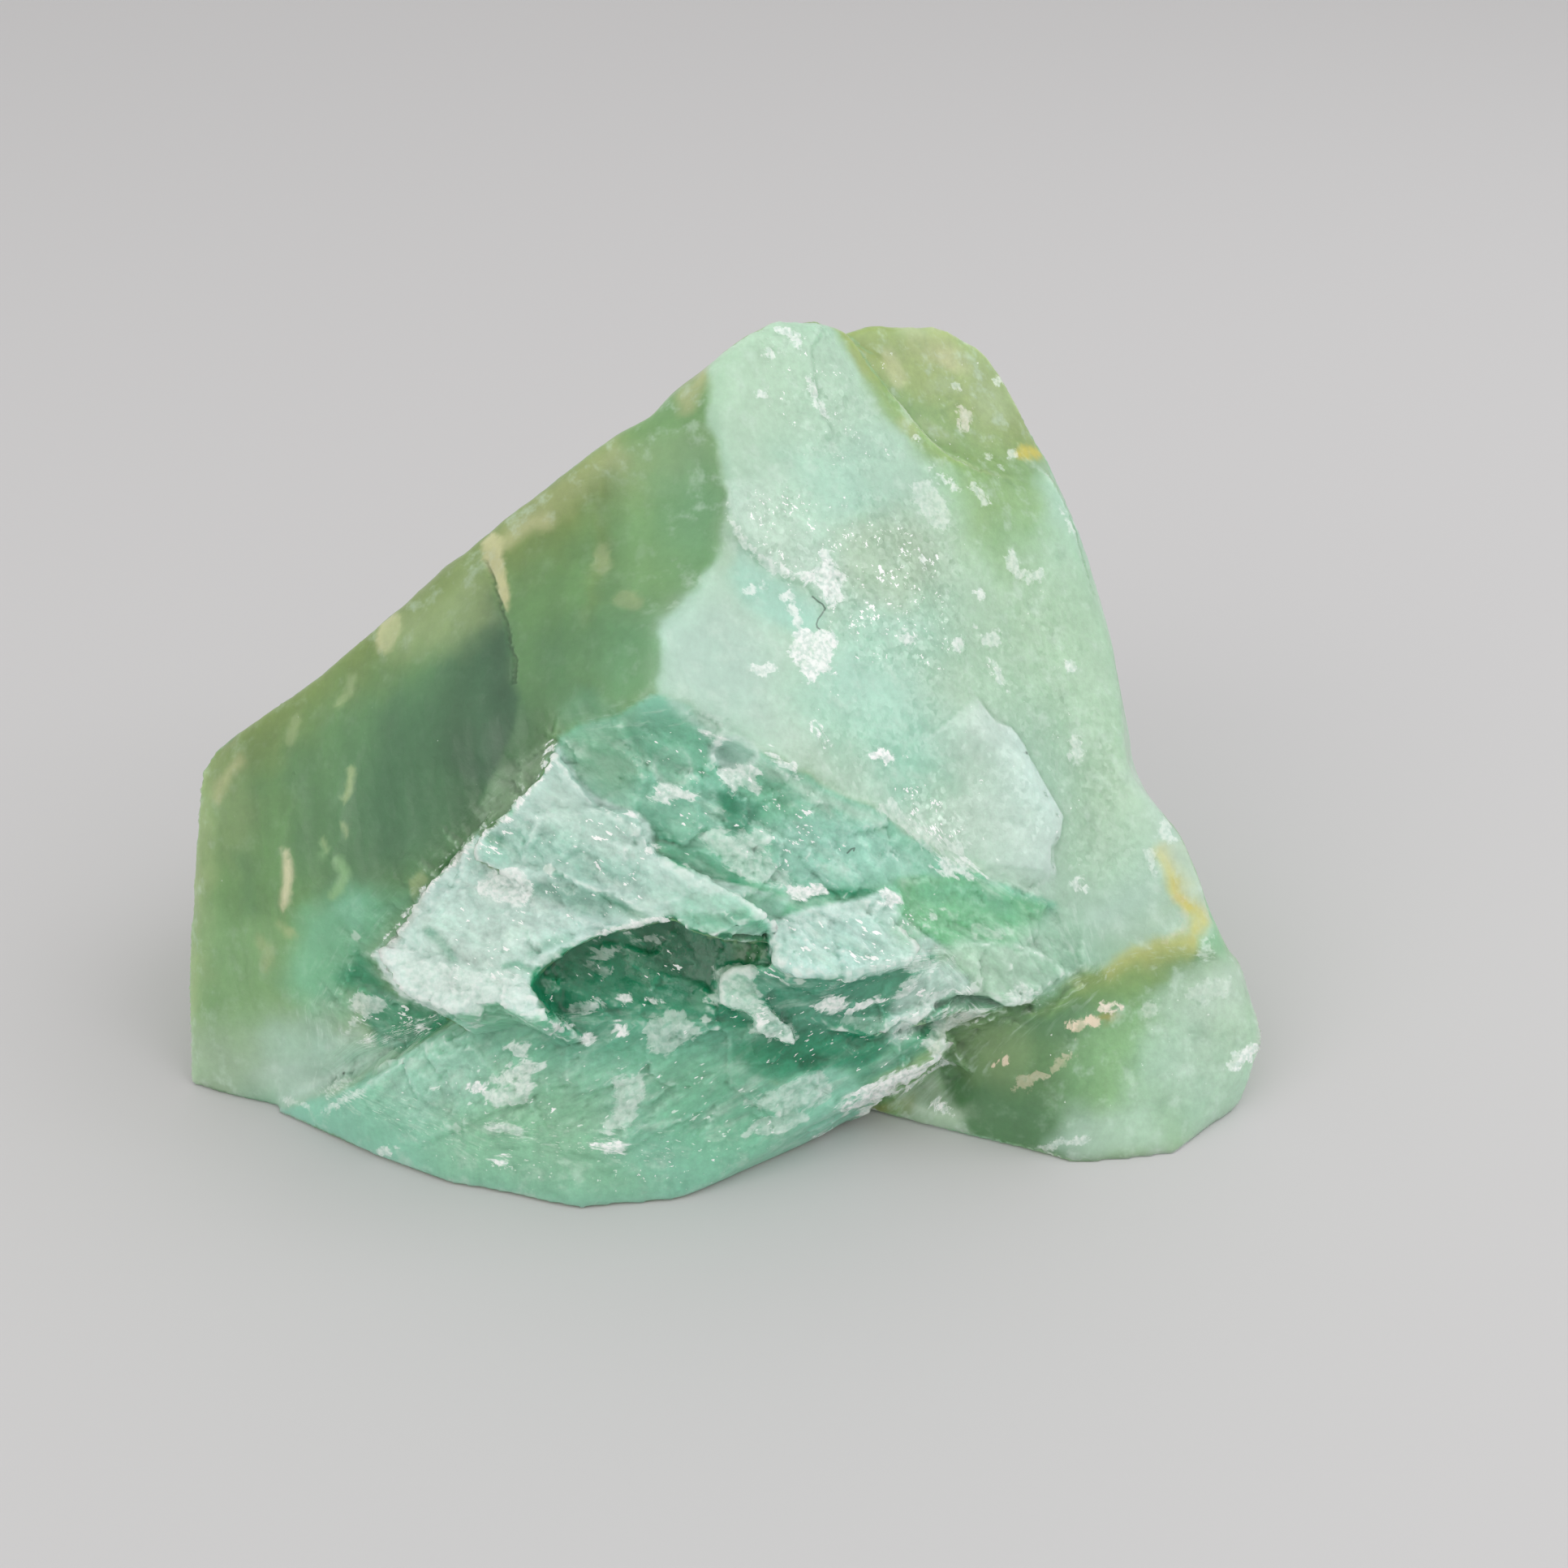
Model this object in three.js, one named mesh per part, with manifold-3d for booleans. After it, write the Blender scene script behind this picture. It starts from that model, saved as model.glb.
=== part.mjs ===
// Raw aquamarine: one rough, milky green chunk of beryl, broken on every side.
// A front block leans against a back slab along a healed crack. The front block has a
// broad pale face to the right, a darker face to the left, and a splintered front with
// ledges, a pocket under them and a toe below. The whole is one solid.
// Millimetres, +Z up. X runs to the right and Y to the back, seen from the front.
// The origin is the middle of the stone's outline on the surface that it rests on.
import * as THREE from 'three';
import { ConvexGeometry } from 'three/addons/geometries/ConvexGeometry.js';
import { ImprovedNoise } from 'three/addons/math/ImprovedNoise.js';
import { mergeVertices } from 'three/addons/utils/BufferGeometryUtils.js';
import Module from 'manifold-3d';

const wasm = await Module();
wasm.setup();

// ---- Driving dimensions ----
const LONGEST_EDGE = 2.6; // of a triangle on the weathered surface
const SHORTEST_EDGE = 0.12; // below this, the ends of an edge are merged
const WELD_DISTANCE = 1e-4; // points closer than this are one point
const MOST_FOLDED = 0.85; // cosine of the most that merging may turn a triangle
const FLATNESS = 0.9998; // cosine of the angle up to which two triangles count as one face
const ANGLE_SLACK = 0.01; // radians over a half turn before an edge is worth turning
const TURNING_PASSES = 30;
const SCOOP_FACES = { around: 14, upward: 9 };
const BASE_LIFT = 1.5; // height over which the flat base turns into weathered stone
const FINISH = { color: 0x9fcfb6, roughness: 0.5, metalness: 0 };

// Surface waviness, one layer each: how far it moves a point, and its length from crest
// to crest.
const WAVES = [
  { depth: 0.45, length: 14 },
  { depth: 0.3, length: 5.5 },
];

// Blocks are the hulls of their corners. The base is at height 0.
// The front block, with the left face and the pale right face.
const FRONT_BLOCK = [
  // the base
  [-26.9, -9.9, 0], [-22.4, -11.5, 0], [6.5, -11, 0], [-24, 4, 0], [-17, 12, 0], [-2, 15, 0],
  [15, 8, 0],
  // the left end, which rounds over into the left face
  [-26.8, -4.8, 8.3], [-26.1, -2.9, 13.7], [-24.7, 4, 10], [-25.4, -2.4, 14.8],
  // the long top edge, from the left end up to the summit
  [-22.3, -2.8, 16.7], [-20.5, -2.6, 18.6], [-17.9, -2.6, 21.4], [-15, -2.8, 23.3],
  [-10.6, -2.1, 26.6], [-0.1, 0.2, 34.3], [0.7, 1.1, 34.8], [2.6, 3.2, 35.1], [4.5, 4.5, 34.7],
  [5.2, 5, 34.4],
  // the left face's bulge
  [-18, -7, 16.1], [-8.9, -9.9, 21.1], [-15.5, -10.6, 12.1], [-22.1, -9.2, 7.4],
  // the ridge between the left face and the pale face
  [0.2, -5.3, 28.5], [-2.6, -10.5, 25.2], [-2.7, -12.1, 23.6],
  // the pale face's lower edge and right side
  [1.9, -12.1, 20.3], [10.8, -11.1, 13.3], [13.5, -13.8, 7.9], [17.2, -11.2, 7.6],
  [23.2, -6.9, 7.2], [21.8, -5.1, 10.4], [19.1, -0.6, 17.5], [17.4, 4.5, 24.5], [16.4, 5.9, 26.8],
  // the back
  [-20, 8, 14], [-8, 11, 20], [6, 11, 26],
];

// The splintered front between the pale face and the toe.
const SPLINTERED_FRONT = [
  [-2.5, -11.7, 23], [1.9, -11.9, 20.1], [6.3, -11.9, 16.8], [10.8, -11, 13],
  [-7.2, -11, 20], [-10.5, -11.4, 16.3], [-13.2, -12.3, 13.7], [-15.4, -13.2, 10.4],
  [-14.4, -14, 8.9], [-10.5, -15.3, 8.8], [-5.2, -15.4, 12.8], [2.1, -15.7, 12.8],
  [-3, -15.7, 8], [3.5, -15.8, 8], [9, -14.9, 10.5], [9, -14.8, 7.5], [13.2, -13.2, 7.9],
  [-12, -10, 4.5], [10, -10, 5], [0, -5, 15],
];

// The toe at the foot of the splintered front, with a slanting crest on its left.
const TOE = [
  [-22.4, -11.9, 0], [-19.3, -13.4, 0], [-12.5, -17.1, 0], [-6.5, -18.7, 0], [-2.3, -18.2, 0],
  [4.2, -14.2, 0], [6.6, -12.6, 0.3], [-18.1, -13.9, 3], [-12.3, -15.1, 6.5], [-9.1, -15.6, 8.9],
  [-3.2, -16, 8.7], [2.6, -15.9, 8.4], [7, -15.3, 7.6], [10.2, -14.5, 5.6], [10.9, -14.3, 6.4],
  [5.3, -14.1, 2.2],
  [-14, -6, 0], [8, -8, 3], [-8, -8, 8], [8, -8, 7],
];

// The back slab: the lobe at the top, the right edge and the foot.
const BACK_SLAB = [
  // the lobe
  [5.6, 6.2, 33.7], [7, 7.3, 33.6], [10.7, 8.9, 33.1], [13, 9.4, 31.7], [15, 8.5, 29],
  [16.3, 7.6, 26.9],
  // the right edge
  [20.2, -0.8, 13.5], [22.1, -0.6, 11.2], [23.8, -1.9, 8.4], [25, -3.6, 6.5],
  // the foot
  [25.9, -6.4, 5.2], [26.6, -10.5, 3], [25.3, -11.8, 0], [21.5, -15.1, 0], [16.8, -15.8, 0],
  [7, -11.9, 0], [10.5, -13.1, 0], [12.8, -13, 6.6], [17.4, -10.5, 6.8], [20, -8.5, 6.7],
  // the back
  [1, 12.5, 27], [-3, 15.2, 19], [10, 18, 23], [18, 15, 16], [22, 12, 0], [14, 18, 0], [-4, 18.5, 0],
  [-9, 15.8, 0],
];

// Plates have a ragged outline on their own flat face, of which turn is the heading to the
// right of straight ahead and rise the tilt above the horizon, in degrees.
// Flakes stand out of the blocks with their face at the centre given.
const FLAKES = {
  longLedge: {
    centre: [-8.7, -14.5, 13.9], turn: -22, rise: 50, thickness: 4,
    outline: [
      [-1, 7.5], [-1.6, 5.4], [-2, 4.1], [-3.1, 2.9], [-3.8, 1.5], [-4.8, 0.1], [-5.2, -1.3],
      [-5.6, -2.6], [-6.2, -3.6], [-5.5, -4.4], [-4.3, -5.2], [-2, -5.6], [0.3, -4.5],
      [2.3, -4.8], [2.8, -4.5], [1.5, -3.4], [1.8, -2.1], [4, -0.3], [6.5, 0.9], [9, 0.7],
      [10.8, 2.3], [7.5, 3], [5.2, 3.7], [3.8, 5.2],
    ],
  },
  upperLedge: {
    centre: [-6.6, -13.7, 17], turn: -13, rise: 23, thickness: 2,
    outline: [
      [-1.1, 3.7], [-1.7, 2.5], [-2.2, 1.8], [-2.9, 0.7], [-4.1, -0.3], [-4.4, -1.7], [-0.1, -3.4],
      [5.8, -2.3], [7.8, -1.7], [5.7, -1.2], [4.9, -0.6], [3.7, -0.3], [3.3, 0.6], [2.7, 1.2],
      [1.1, 1.7], [-0.1, 2.8],
    ],
  },
  whiteLedge: {
    centre: [5.7, -15.2, 12.8], turn: 22, rise: 55, thickness: 3,
    outline: [
      [-3.3, 1.5], [-1.2, 1.7], [1.2, 1.8], [2.7, 1.6], [3, 0.9], [2.4, 0.3], [3.3, -1.1],
      [2.5, -1.7], [0.7, -1.7], [-1.1, -1.5], [-2.6, -0.8], [-3.6, 0],
    ],
  },
  crust: {
    centre: [1.2, -16, 10.6], turn: 0, rise: 35, thickness: 3,
    outline: [
      [-1.5, 0.9], [-0.6, 0.7], [0.9, 0.9], [1.3, 0.2], [0.7, -0.3], [1.4, -1.1], [2, -1.7],
      [2.3, -2.5], [1.1, -2.1], [0.4, -1.7], [0.2, -0.9], [-0.9, -0.7], [-1.7, -0.4],
    ],
  },
  feather: {
    centre: [8.2, -14.4, 9.3], turn: 15, rise: 42, thickness: 3,
    outline: [
      [-4.2, -0.1], [-2.7, 0.3], [0.1, 0.9], [1.3, 1.1], [3.4, 1.5], [5.1, 1.5], [5.6, 0.4],
      [4.5, 0], [3.1, -0.7], [2.5, -1.2], [0.8, -1.7], [-0.1, -1.2], [-1.4, -1.9], [-3.3, -1.1],
    ],
  },
  upperScale: {
    centre: [0.6, -4.3, 29.7], turn: 44, rise: 37, thickness: 2,
    outline: [
      [1.3, 3.7], [0.5, 2.3], [-0.4, 0.1], [-1, -1.3], [-0.6, -2.4], [0.2, -3.3], [0.6, -4.2],
      [1.7, -4.6], [2.3, -6.2], [6, -4.5], [9, -1], [4.6, 5.8],
    ],
  },
  lowerScale: {
    centre: [14.8, -7.4, 14.5], turn: 35, rise: 36, thickness: 2,
    outline: [
      [-1.6, 6.6], [-0.9, 4.1], [0.3, 2.8], [0.5, 1.3], [1, -0.5], [0.2, -1.7], [-0.2, -3],
      [-1.6, -3.6], [-3.3, -2.8], [-4.7, -1.6], [-6, 0.5], [-6.5, 4.2], [-4, 7],
    ],
  },
};

// Bites are cut out of the front block, between two heights above the centre given.
const BITES = {
  besideSummit: {
    centre: [10.2, 5.6, 30], turn: 38, rise: 36, from: 0, to: 8,
    outline: [
      [-3.8, 5.6], [-3.6, 3.9], [-3.4, 2.5], [-2.7, 0.8], [-1.6, -1.9], [-0.7, -3], [0.7, -4],
      [2.8, -4.9], [4.2, -5], [6.2, -4.3], [13.3, -2], [8.9, 7], [-1.1, 8.7],
    ],
  },
  alongTopEdge: {
    centre: [-5.8, 1.5, 30.6], turn: 0, rise: 30, from: -12, to: 12,
    outline: [
      [-6.9, -6.5], [-3.8, -4.3], [-0.8, -2.1], [1.2, -0.8], [2.7, 0], [3.6, 1.4], [5.6, 3.3],
      [7.3, 4.8], [6.1, 7.3], [-6.9, -1.5],
    ],
  },
};

// The bite out of all the blocks where the right edge turns outwards above the foot.
const EDGE_BITE = {
  centre: [20.3, -0.4, 14], turn: -11.5, rise: 28, thickness: 40,
  outline: [
    [-1.9, 6.8], [-1.3, 5], [-0.8, 3.2], [-0.4, 1.8], [0, -0.1], [0.4, -1], [1.1, -2],
    [2, -3.1], [2.8, -4], [3.7, -5.5], [4.6, -7.2], [5.5, -8.7], [6.1, -9.8], [13.2, -9], [11.2, 10.1],
    [-2.8, 9],
  ],
};

// Hollows are the bites of round scoops, which lean about X and turn about Z, in degrees.
// A mouth limits the scoop to what lies behind its outline.
const HOLLOWS = {
  pocket: {
    centre: [-2.9, -17, 12.3], radii: [7, 4.6, 3.4], lean: 38, turn: 0,
    mouth: {
      centre: [-2.8, -16.4, 12.1], turn: 0, rise: 30, thickness: 12,
      outline: [
        [-5.2, -0.4], [-4.7, 0.1], [-3.9, 0.7], [-2.9, 1.2], [-2, 1.5], [-0.7, 1.7], [0.3, 2],
        [0.9, 2.2], [1.4, 1.8], [2.2, 1.5], [3.7, 1.2], [5.2, 1.1], [5.4, 0.6], [5, 0.2],
        [4.4, 0], [3.7, 0], [3, -0.1], [2.8, -0.9], [2.7, -1.4], [3.1, -1.9], [2.9, -2.5],
        [1.5, -2.4], [-0.1, -2.4], [-2.3, -2.1], [-4.2, -2.1], [-5.1, -1.6], [-5.4, -1],
      ],
    },
  },
  besideTheRidge: {
    centre: [-6.9, -11.2, 36.2], radii: [17, 11.5, 11.5], lean: 0, turn: -24, fineness: 3,
  },
  underTheLip: { centre: [9.6, -13.2, 2.6], radii: [2.6, 1.8, 1.7], lean: 0, turn: -20 },
  roundPitLeft: { centre: [-2.2, -14.1, 20.4], radii: [1.6, 1.6, 1.6], lean: 0, turn: 0 },
  roundPitRight: { centre: [0.7, -13.6, 20.7], radii: [1.6, 1.6, 1.6], lean: 0, turn: 0 },
  backLeft: { centre: [-18, 18, 14], radii: [13, 9, 10], lean: 25, turn: 30 },
  backRight: { centre: [24, 20, 17], radii: [9, 12, 10], lean: 10, turn: 15 },
};

// ---- Solids ----
const solidOf = (geometry) => {
  const shell = new THREE.BufferGeometry();
  shell.setAttribute('position', geometry.getAttribute('position'));
  shell.setIndex(geometry.index);
  const merged = mergeVertices(shell, WELD_DISTANCE);
  return new wasm.Manifold(new wasm.Mesh({
    numProp: 3,
    vertProperties: merged.getAttribute('position').array,
    triVerts: new Uint32Array(merged.index.array),
  }));
};

const block = (corners) => {
  const points = corners.map((corner) => new THREE.Vector3(...corner));
  return solidOf(new ConvexGeometry(points));
};

// A plate from one height to another above its centre, square to its face.
const plate = ({ outline, centre, turn, rise }, from, to) => {
  const shape = new THREE.Shape(outline.map(([x, y]) => new THREE.Vector2(x, y)));
  const slab = new THREE.ExtrudeGeometry(shape, { depth: to - from, bevelEnabled: false });
  slab.translate(0, 0, from);
  slab.rotateX(THREE.MathUtils.degToRad(90 - rise));
  slab.rotateZ(THREE.MathUtils.degToRad(turn));
  slab.translate(...centre);
  return solidOf(slab);
};

const hollow = ({ centre, radii, lean, turn, mouth, fineness = 1 }) => {
  const { around, upward } = SCOOP_FACES;
  const scoop = new THREE.SphereGeometry(1, around * fineness, upward * fineness);
  scoop.scale(...radii);
  scoop.rotateX(THREE.MathUtils.degToRad(lean));
  scoop.rotateZ(THREE.MathUtils.degToRad(turn));
  scoop.translate(...centre);
  if (!mouth) return solidOf(scoop);
  return solidOf(scoop).intersect(plate(mouth, -mouth.thickness, mouth.thickness));
};

let stone = block(FRONT_BLOCK);
for (const bite of Object.values(BITES)) stone = stone.subtract(plate(bite, bite.from, bite.to));
for (const part of [SPLINTERED_FRONT, TOE, BACK_SLAB]) stone = stone.add(block(part));
stone = stone.subtract(plate(EDGE_BITE, -EDGE_BITE.thickness, EDGE_BITE.thickness));
for (const flake of Object.values(FLAKES)) stone = stone.add(plate(flake, -flake.thickness, 0));
for (const scoop of Object.values(HOLLOWS)) stone = stone.subtract(hollow(scoop));

// ---- Fine triangles ----
const keyOf = (a, b) => (a < b ? `${a},${b}` : `${b},${a}`);

const normalOf = (points, [a, b, c]) => new THREE.Triangle(points[a], points[b], points[c])
  .getNormal(new THREE.Vector3());

const angleAt = (points, corner, a, b) => {
  const toA = points[a].clone().sub(points[corner]);
  return toA.angleTo(points[b].clone().sub(points[corner]));
};

// Merges the ends of every edge shorter than the limit, unless that would fold the surface.
const mergeShortEdges = (points, triangles, limit) => {
  const around = points.map(() => []);
  triangles.forEach((triangle, index) => triangle.forEach((p) => around[p].push(index)));
  const neighbours = (p) => new Set(around[p].flatMap((index) => triangles[index]));
  const folds = (from, to) => around[from].some((index) => {
    const triangle = triangles[index];
    if (triangle.includes(to)) return false;
    const moved = triangle.map((p) => (p === from ? to : p));
    return normalOf(points, triangle).dot(normalOf(points, moved)) < MOST_FOLDED;
  });
  const locked = new Set();
  const merged = new Map();
  for (const [from, to] of triangles.flatMap(([a, b, c]) => [[a, b], [b, c], [c, a]])) {
    if (points[from].distanceTo(points[to]) > limit) continue;
    const near = neighbours(from);
    const far = neighbours(to);
    if ([...near, ...far].some((p) => locked.has(p))) continue;
    // the two ends and the two points across the edge are all that they may share
    const shared = [...near].filter((p) => far.has(p));
    if (shared.length !== 4 || folds(from, to)) continue;
    merged.set(from, to);
    for (const p of [...near, ...far]) locked.add(p);
  }
  return triangles
    .map((triangle) => triangle.map((p) => merged.get(p) ?? p))
    .filter((triangle) => new Set(triangle).size === 3);
};

// Turns the edge between two triangles of one flat face to their other diagonal, where
// that makes them fuller. Returns how many edges were turned.
const turnEdges = (points, triangles) => {
  const sides = new Map();
  triangles.forEach(([a, b, c], index) => {
    for (const [from, to, across] of [[a, b, c], [b, c, a], [c, a, b]]) {
      const key = keyOf(from, to);
      if (!sides.has(key)) sides.set(key, []);
      sides.get(key).push({ index, from, to, across });
    }
  });
  const turned = new Set();
  let count = 0;
  for (const [one, other] of sides.values()) {
    if (turned.has(one.index) || turned.has(other.index)) continue;
    if (sides.has(keyOf(one.across, other.across))) continue;
    const facing = angleAt(points, one.across, one.from, one.to)
      + angleAt(points, other.across, one.from, one.to);
    if (facing < Math.PI + ANGLE_SLACK) continue;
    const pair = [[one.across, one.from, other.across], [one.across, other.across, one.to]];
    const normals = [triangles[one.index], triangles[other.index], ...pair]
      .map((triangle) => normalOf(points, triangle));
    if (normals.some((normal) => normal.dot(normals[0]) < FLATNESS)) continue;
    [triangles[one.index], triangles[other.index]] = pair;
    turned.add(one.index).add(other.index);
    count += 1;
  }
  return count;
};

// Splits every edge longer than the limit at its middle, on both of its triangles at once,
// so that the surface stays closed.
const splitEdges = (points, triangles, limit) => {
  const middles = new Map();
  const middleOf = (a, b) => {
    const key = keyOf(a, b);
    if (!middles.has(key)) {
      const isLong = points[a].distanceTo(points[b]) > limit;
      middles.set(key, isLong ? points.push(points[a].clone().lerp(points[b], 0.5)) - 1 : -1);
    }
    return middles.get(key);
  };
  const refined = [];
  for (const [a, b, c] of triangles) {
    const cut = [middleOf(a, b), middleOf(b, c), middleOf(c, a)];
    const count = cut.filter((m) => m >= 0).length;
    if (count === 0) {
      refined.push([a, b, c]);
    } else if (count === 3) {
      const [ab, bc, ca] = cut;
      refined.push([a, ab, ca], [ab, b, bc], [ca, bc, c], [ab, bc, ca]);
    } else {
      // turned so that the first edge is cut, and the third is whole
      let corners = [a, b, c];
      while (cut[0] < 0 || cut[2] >= 0) {
        corners = [corners[1], corners[2], corners[0]];
        cut.push(cut.shift());
      }
      const [p, q, r] = corners;
      const [pq, qr] = cut;
      if (count === 1) refined.push([p, pq, r], [pq, q, r]);
      else refined.push([pq, q, qr], [p, pq, qr], [p, qr, r]);
    }
  }
  return refined;
};

const refine = (points, coarse) => {
  let triangles = coarse;
  let before = 0;
  while (triangles.length !== before) {
    before = triangles.length;
    for (let pass = 0; pass < TURNING_PASSES && turnEdges(points, triangles) > 0; pass += 1);
    triangles = mergeShortEdges(points, triangles, SHORTEST_EDGE);
  }
  before = 0;
  while (triangles.length > before) {
    before = triangles.length;
    triangles = splitEdges(points, triangles, LONGEST_EDGE);
    for (let pass = 0; pass < TURNING_PASSES && turnEdges(points, triangles) > 0; pass += 1);
  }
  return triangles;
};

// ---- Weathering ----
const noise = new ImprovedNoise();
const NOISE_OFFSETS = [[3.1, 7.7, 1.3], [41.5, 12.2, 8.9], [17.4, 33.6, 25.8]];

// Moves a point by every layer of waviness. Points on the base only slide along it.
const weather = (point) => {
  const start = point.clone();
  for (const { depth, length } of WAVES) {
    NOISE_OFFSETS.forEach((offset, axis) => {
      const at = start.clone().divideScalar(length).add(new THREE.Vector3(...offset));
      point.setComponent(axis, point.getComponent(axis) + depth * noise.noise(at.x, at.y, at.z));
    });
  }
  const lift = THREE.MathUtils.smoothstep(start.z, 0, BASE_LIFT);
  point.z = start.z + (point.z - start.z) * lift;
};

const rough = stone.getMesh();
const points = [];
for (let i = 0; i < rough.vertProperties.length; i += rough.numProp) {
  points.push(new THREE.Vector3().fromArray(rough.vertProperties, i));
}
const triangles = [];
for (let i = 0; i < rough.triVerts.length; i += 3) {
  triangles.push([...rough.triVerts.slice(i, i + 3)]);
}
const corners = refine(points, triangles).flat().map((p) => points[p].clone());
corners.forEach(weather);

const surface = mergeVertices(new THREE.BufferGeometry().setFromPoints(corners), WELD_DISTANCE);
surface.computeBoundingBox();
const { min, max } = surface.boundingBox;
surface.translate(-(min.x + max.x) / 2, -(min.y + max.y) / 2, -min.z);
surface.computeVertexNormals();

const aquamarine = new THREE.Mesh(surface, new THREE.MeshStandardMaterial(FINISH));
aquamarine.name = 'raw_aquamarine';

const specimen = new THREE.Group();
specimen.add(aquamarine);
export default specimen;
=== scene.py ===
import math
from functools import partial
import bpy
import bmesh
import numpy as np
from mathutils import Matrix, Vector
from mathutils.bvhtree import BVHTree


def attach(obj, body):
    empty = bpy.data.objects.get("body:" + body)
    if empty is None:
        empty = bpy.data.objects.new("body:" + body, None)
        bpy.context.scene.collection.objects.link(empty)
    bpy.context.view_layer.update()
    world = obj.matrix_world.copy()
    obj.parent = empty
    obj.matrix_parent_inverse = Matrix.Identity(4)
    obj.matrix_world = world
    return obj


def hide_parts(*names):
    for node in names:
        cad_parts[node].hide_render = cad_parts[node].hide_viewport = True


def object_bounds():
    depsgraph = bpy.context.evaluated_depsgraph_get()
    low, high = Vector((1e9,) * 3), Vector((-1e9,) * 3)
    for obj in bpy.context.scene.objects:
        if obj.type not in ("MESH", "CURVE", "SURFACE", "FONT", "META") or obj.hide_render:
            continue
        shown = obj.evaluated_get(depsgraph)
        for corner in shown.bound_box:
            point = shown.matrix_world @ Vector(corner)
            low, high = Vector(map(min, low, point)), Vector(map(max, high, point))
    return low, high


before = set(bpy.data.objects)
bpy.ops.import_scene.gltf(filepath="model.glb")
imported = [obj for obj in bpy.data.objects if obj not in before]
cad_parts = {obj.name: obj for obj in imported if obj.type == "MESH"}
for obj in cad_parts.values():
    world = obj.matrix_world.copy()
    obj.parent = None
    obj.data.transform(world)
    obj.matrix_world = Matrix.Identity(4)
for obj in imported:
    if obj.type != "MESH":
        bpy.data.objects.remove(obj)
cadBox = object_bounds()
mm = 0.001
print("frame loaded")

# the camera stands in front of the stone and looks down at it
view = {
    "eye": (3.088, -86.851, 62.0),   # mm
    "pitch": 30,                     # degrees below the horizon
    "lens": 45,
    "sensor": 36,
    "side": 1932,                    # pixels of the square view, in which marks on the front are placed
    "pixel": 0.035,                  # mm on the stone for one of them
}

cameraData = bpy.data.cameras.new("viewCamera")
cameraData.lens = view["lens"]
cameraData.sensor_width = view["sensor"]
cameraData.clip_start = 0.005
cameraData.clip_end = 20
camera = bpy.data.objects.new("viewCamera", cameraData)
camera.location = Vector(view["eye"]) * mm
camera.rotation_euler = (math.radians(90 - view["pitch"]), 0, 0)
bpy.context.scene.collection.objects.link(camera)
bpy.context.scene.camera = camera
bpy.context.scene.view_settings.view_transform = "Standard"


def toLinear(hexColour):
    # sRGB hex to linear RGBA
    parts = [int(hexColour[i:i + 2], 16) / 255 for i in (1, 3, 5)]
    return [c / 12.92 if c <= 0.04045 else ((c + 0.055) / 1.055) ** 2.4 for c in parts] + [1.0]


mathKind, vectorKind = "ShaderNodeMath", "ShaderNodeVectorMath"
rangeKind, mixKind = "ShaderNodeMapRange", "ShaderNodeMix"


def addNode(tree, kind, inputs=(), **settings):
    # inputs are values or other nodes' outputs, in order or by name; gives the new node's outputs
    node = tree.nodes.new(kind)
    for name, value in settings.items():
        setattr(node, name, value)
    for key, value in inputs.items() if isinstance(inputs, dict) else enumerate(inputs):
        if isinstance(value, bpy.types.NodeSocket):
            tree.links.new(value, node.inputs[key])
        else:
            node.inputs[key].default_value = value
    return node.outputs


def drawnOut(tree, place, way, share):
    # squeezes the place along the way, so that a pattern there is drawn out along it
    along = addNode(tree, vectorKind, (place, way), operation="DOT_PRODUCT")["Value"]
    pull = addNode(tree, mathKind, (along, share), operation="MULTIPLY")[0]
    pull = addNode(tree, vectorKind, {0: way, "Scale": pull}, operation="SCALE")[0]
    return addNode(tree, vectorKind, (place, pull), operation="SUBTRACT")[0]


def linkObject(obj):
    bpy.context.scene.collection.objects.link(obj)
    return obj


def bakeModifiers(obj):
    # what the modifiers make becomes the object's own mesh
    graph = bpy.context.evaluated_depsgraph_get()
    graph.update()
    made = obj.evaluated_get(graph)
    mesh = bpy.data.meshes.new_from_object(made, preserve_all_data_layers=True, depsgraph=graph)
    obj.modifiers.clear()
    obj.data = mesh


def dropLoose(mesh):
    # keeps the largest connected part, and drops what is not joined to it
    work = bmesh.new()
    work.from_mesh(mesh)
    left = set(work.verts)
    groups = []
    while left:
        group = [left.pop()]
        for vertex in group:
            for edge in vertex.link_edges:
                other = edge.other_vert(vertex)
                if other in left:
                    left.remove(other)
                    group.append(other)
        groups.append(group)
    groups.sort(key=len)
    bmesh.ops.delete(work, geom=[vertex for group in groups[:-1] for vertex in group], context="VERTS")
    work.to_mesh(mesh)
    work.free()
    return len(groups) - 1


def positionsOf(mesh):
    # vertex positions in mm
    found = np.empty(len(mesh.vertices) * 3, np.float32)
    mesh.vertices.foreach_get("co", found)
    return found.reshape(-1, 3).astype(float) / mm


def normalsOf(mesh):
    found = np.empty(len(mesh.vertices) * 3, np.float32)
    mesh.vertices.foreach_get("normal", found)
    return found.reshape(-1, 3).astype(float)


def store(mesh, name, values):
    kind = "FLOAT_COLOR" if values.ndim == 2 else "FLOAT"
    made = mesh.attributes.new(name, kind, "POINT")
    made.data.foreach_set("color" if values.ndim == 2 else "value", values.astype(np.float32).ravel())


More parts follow.
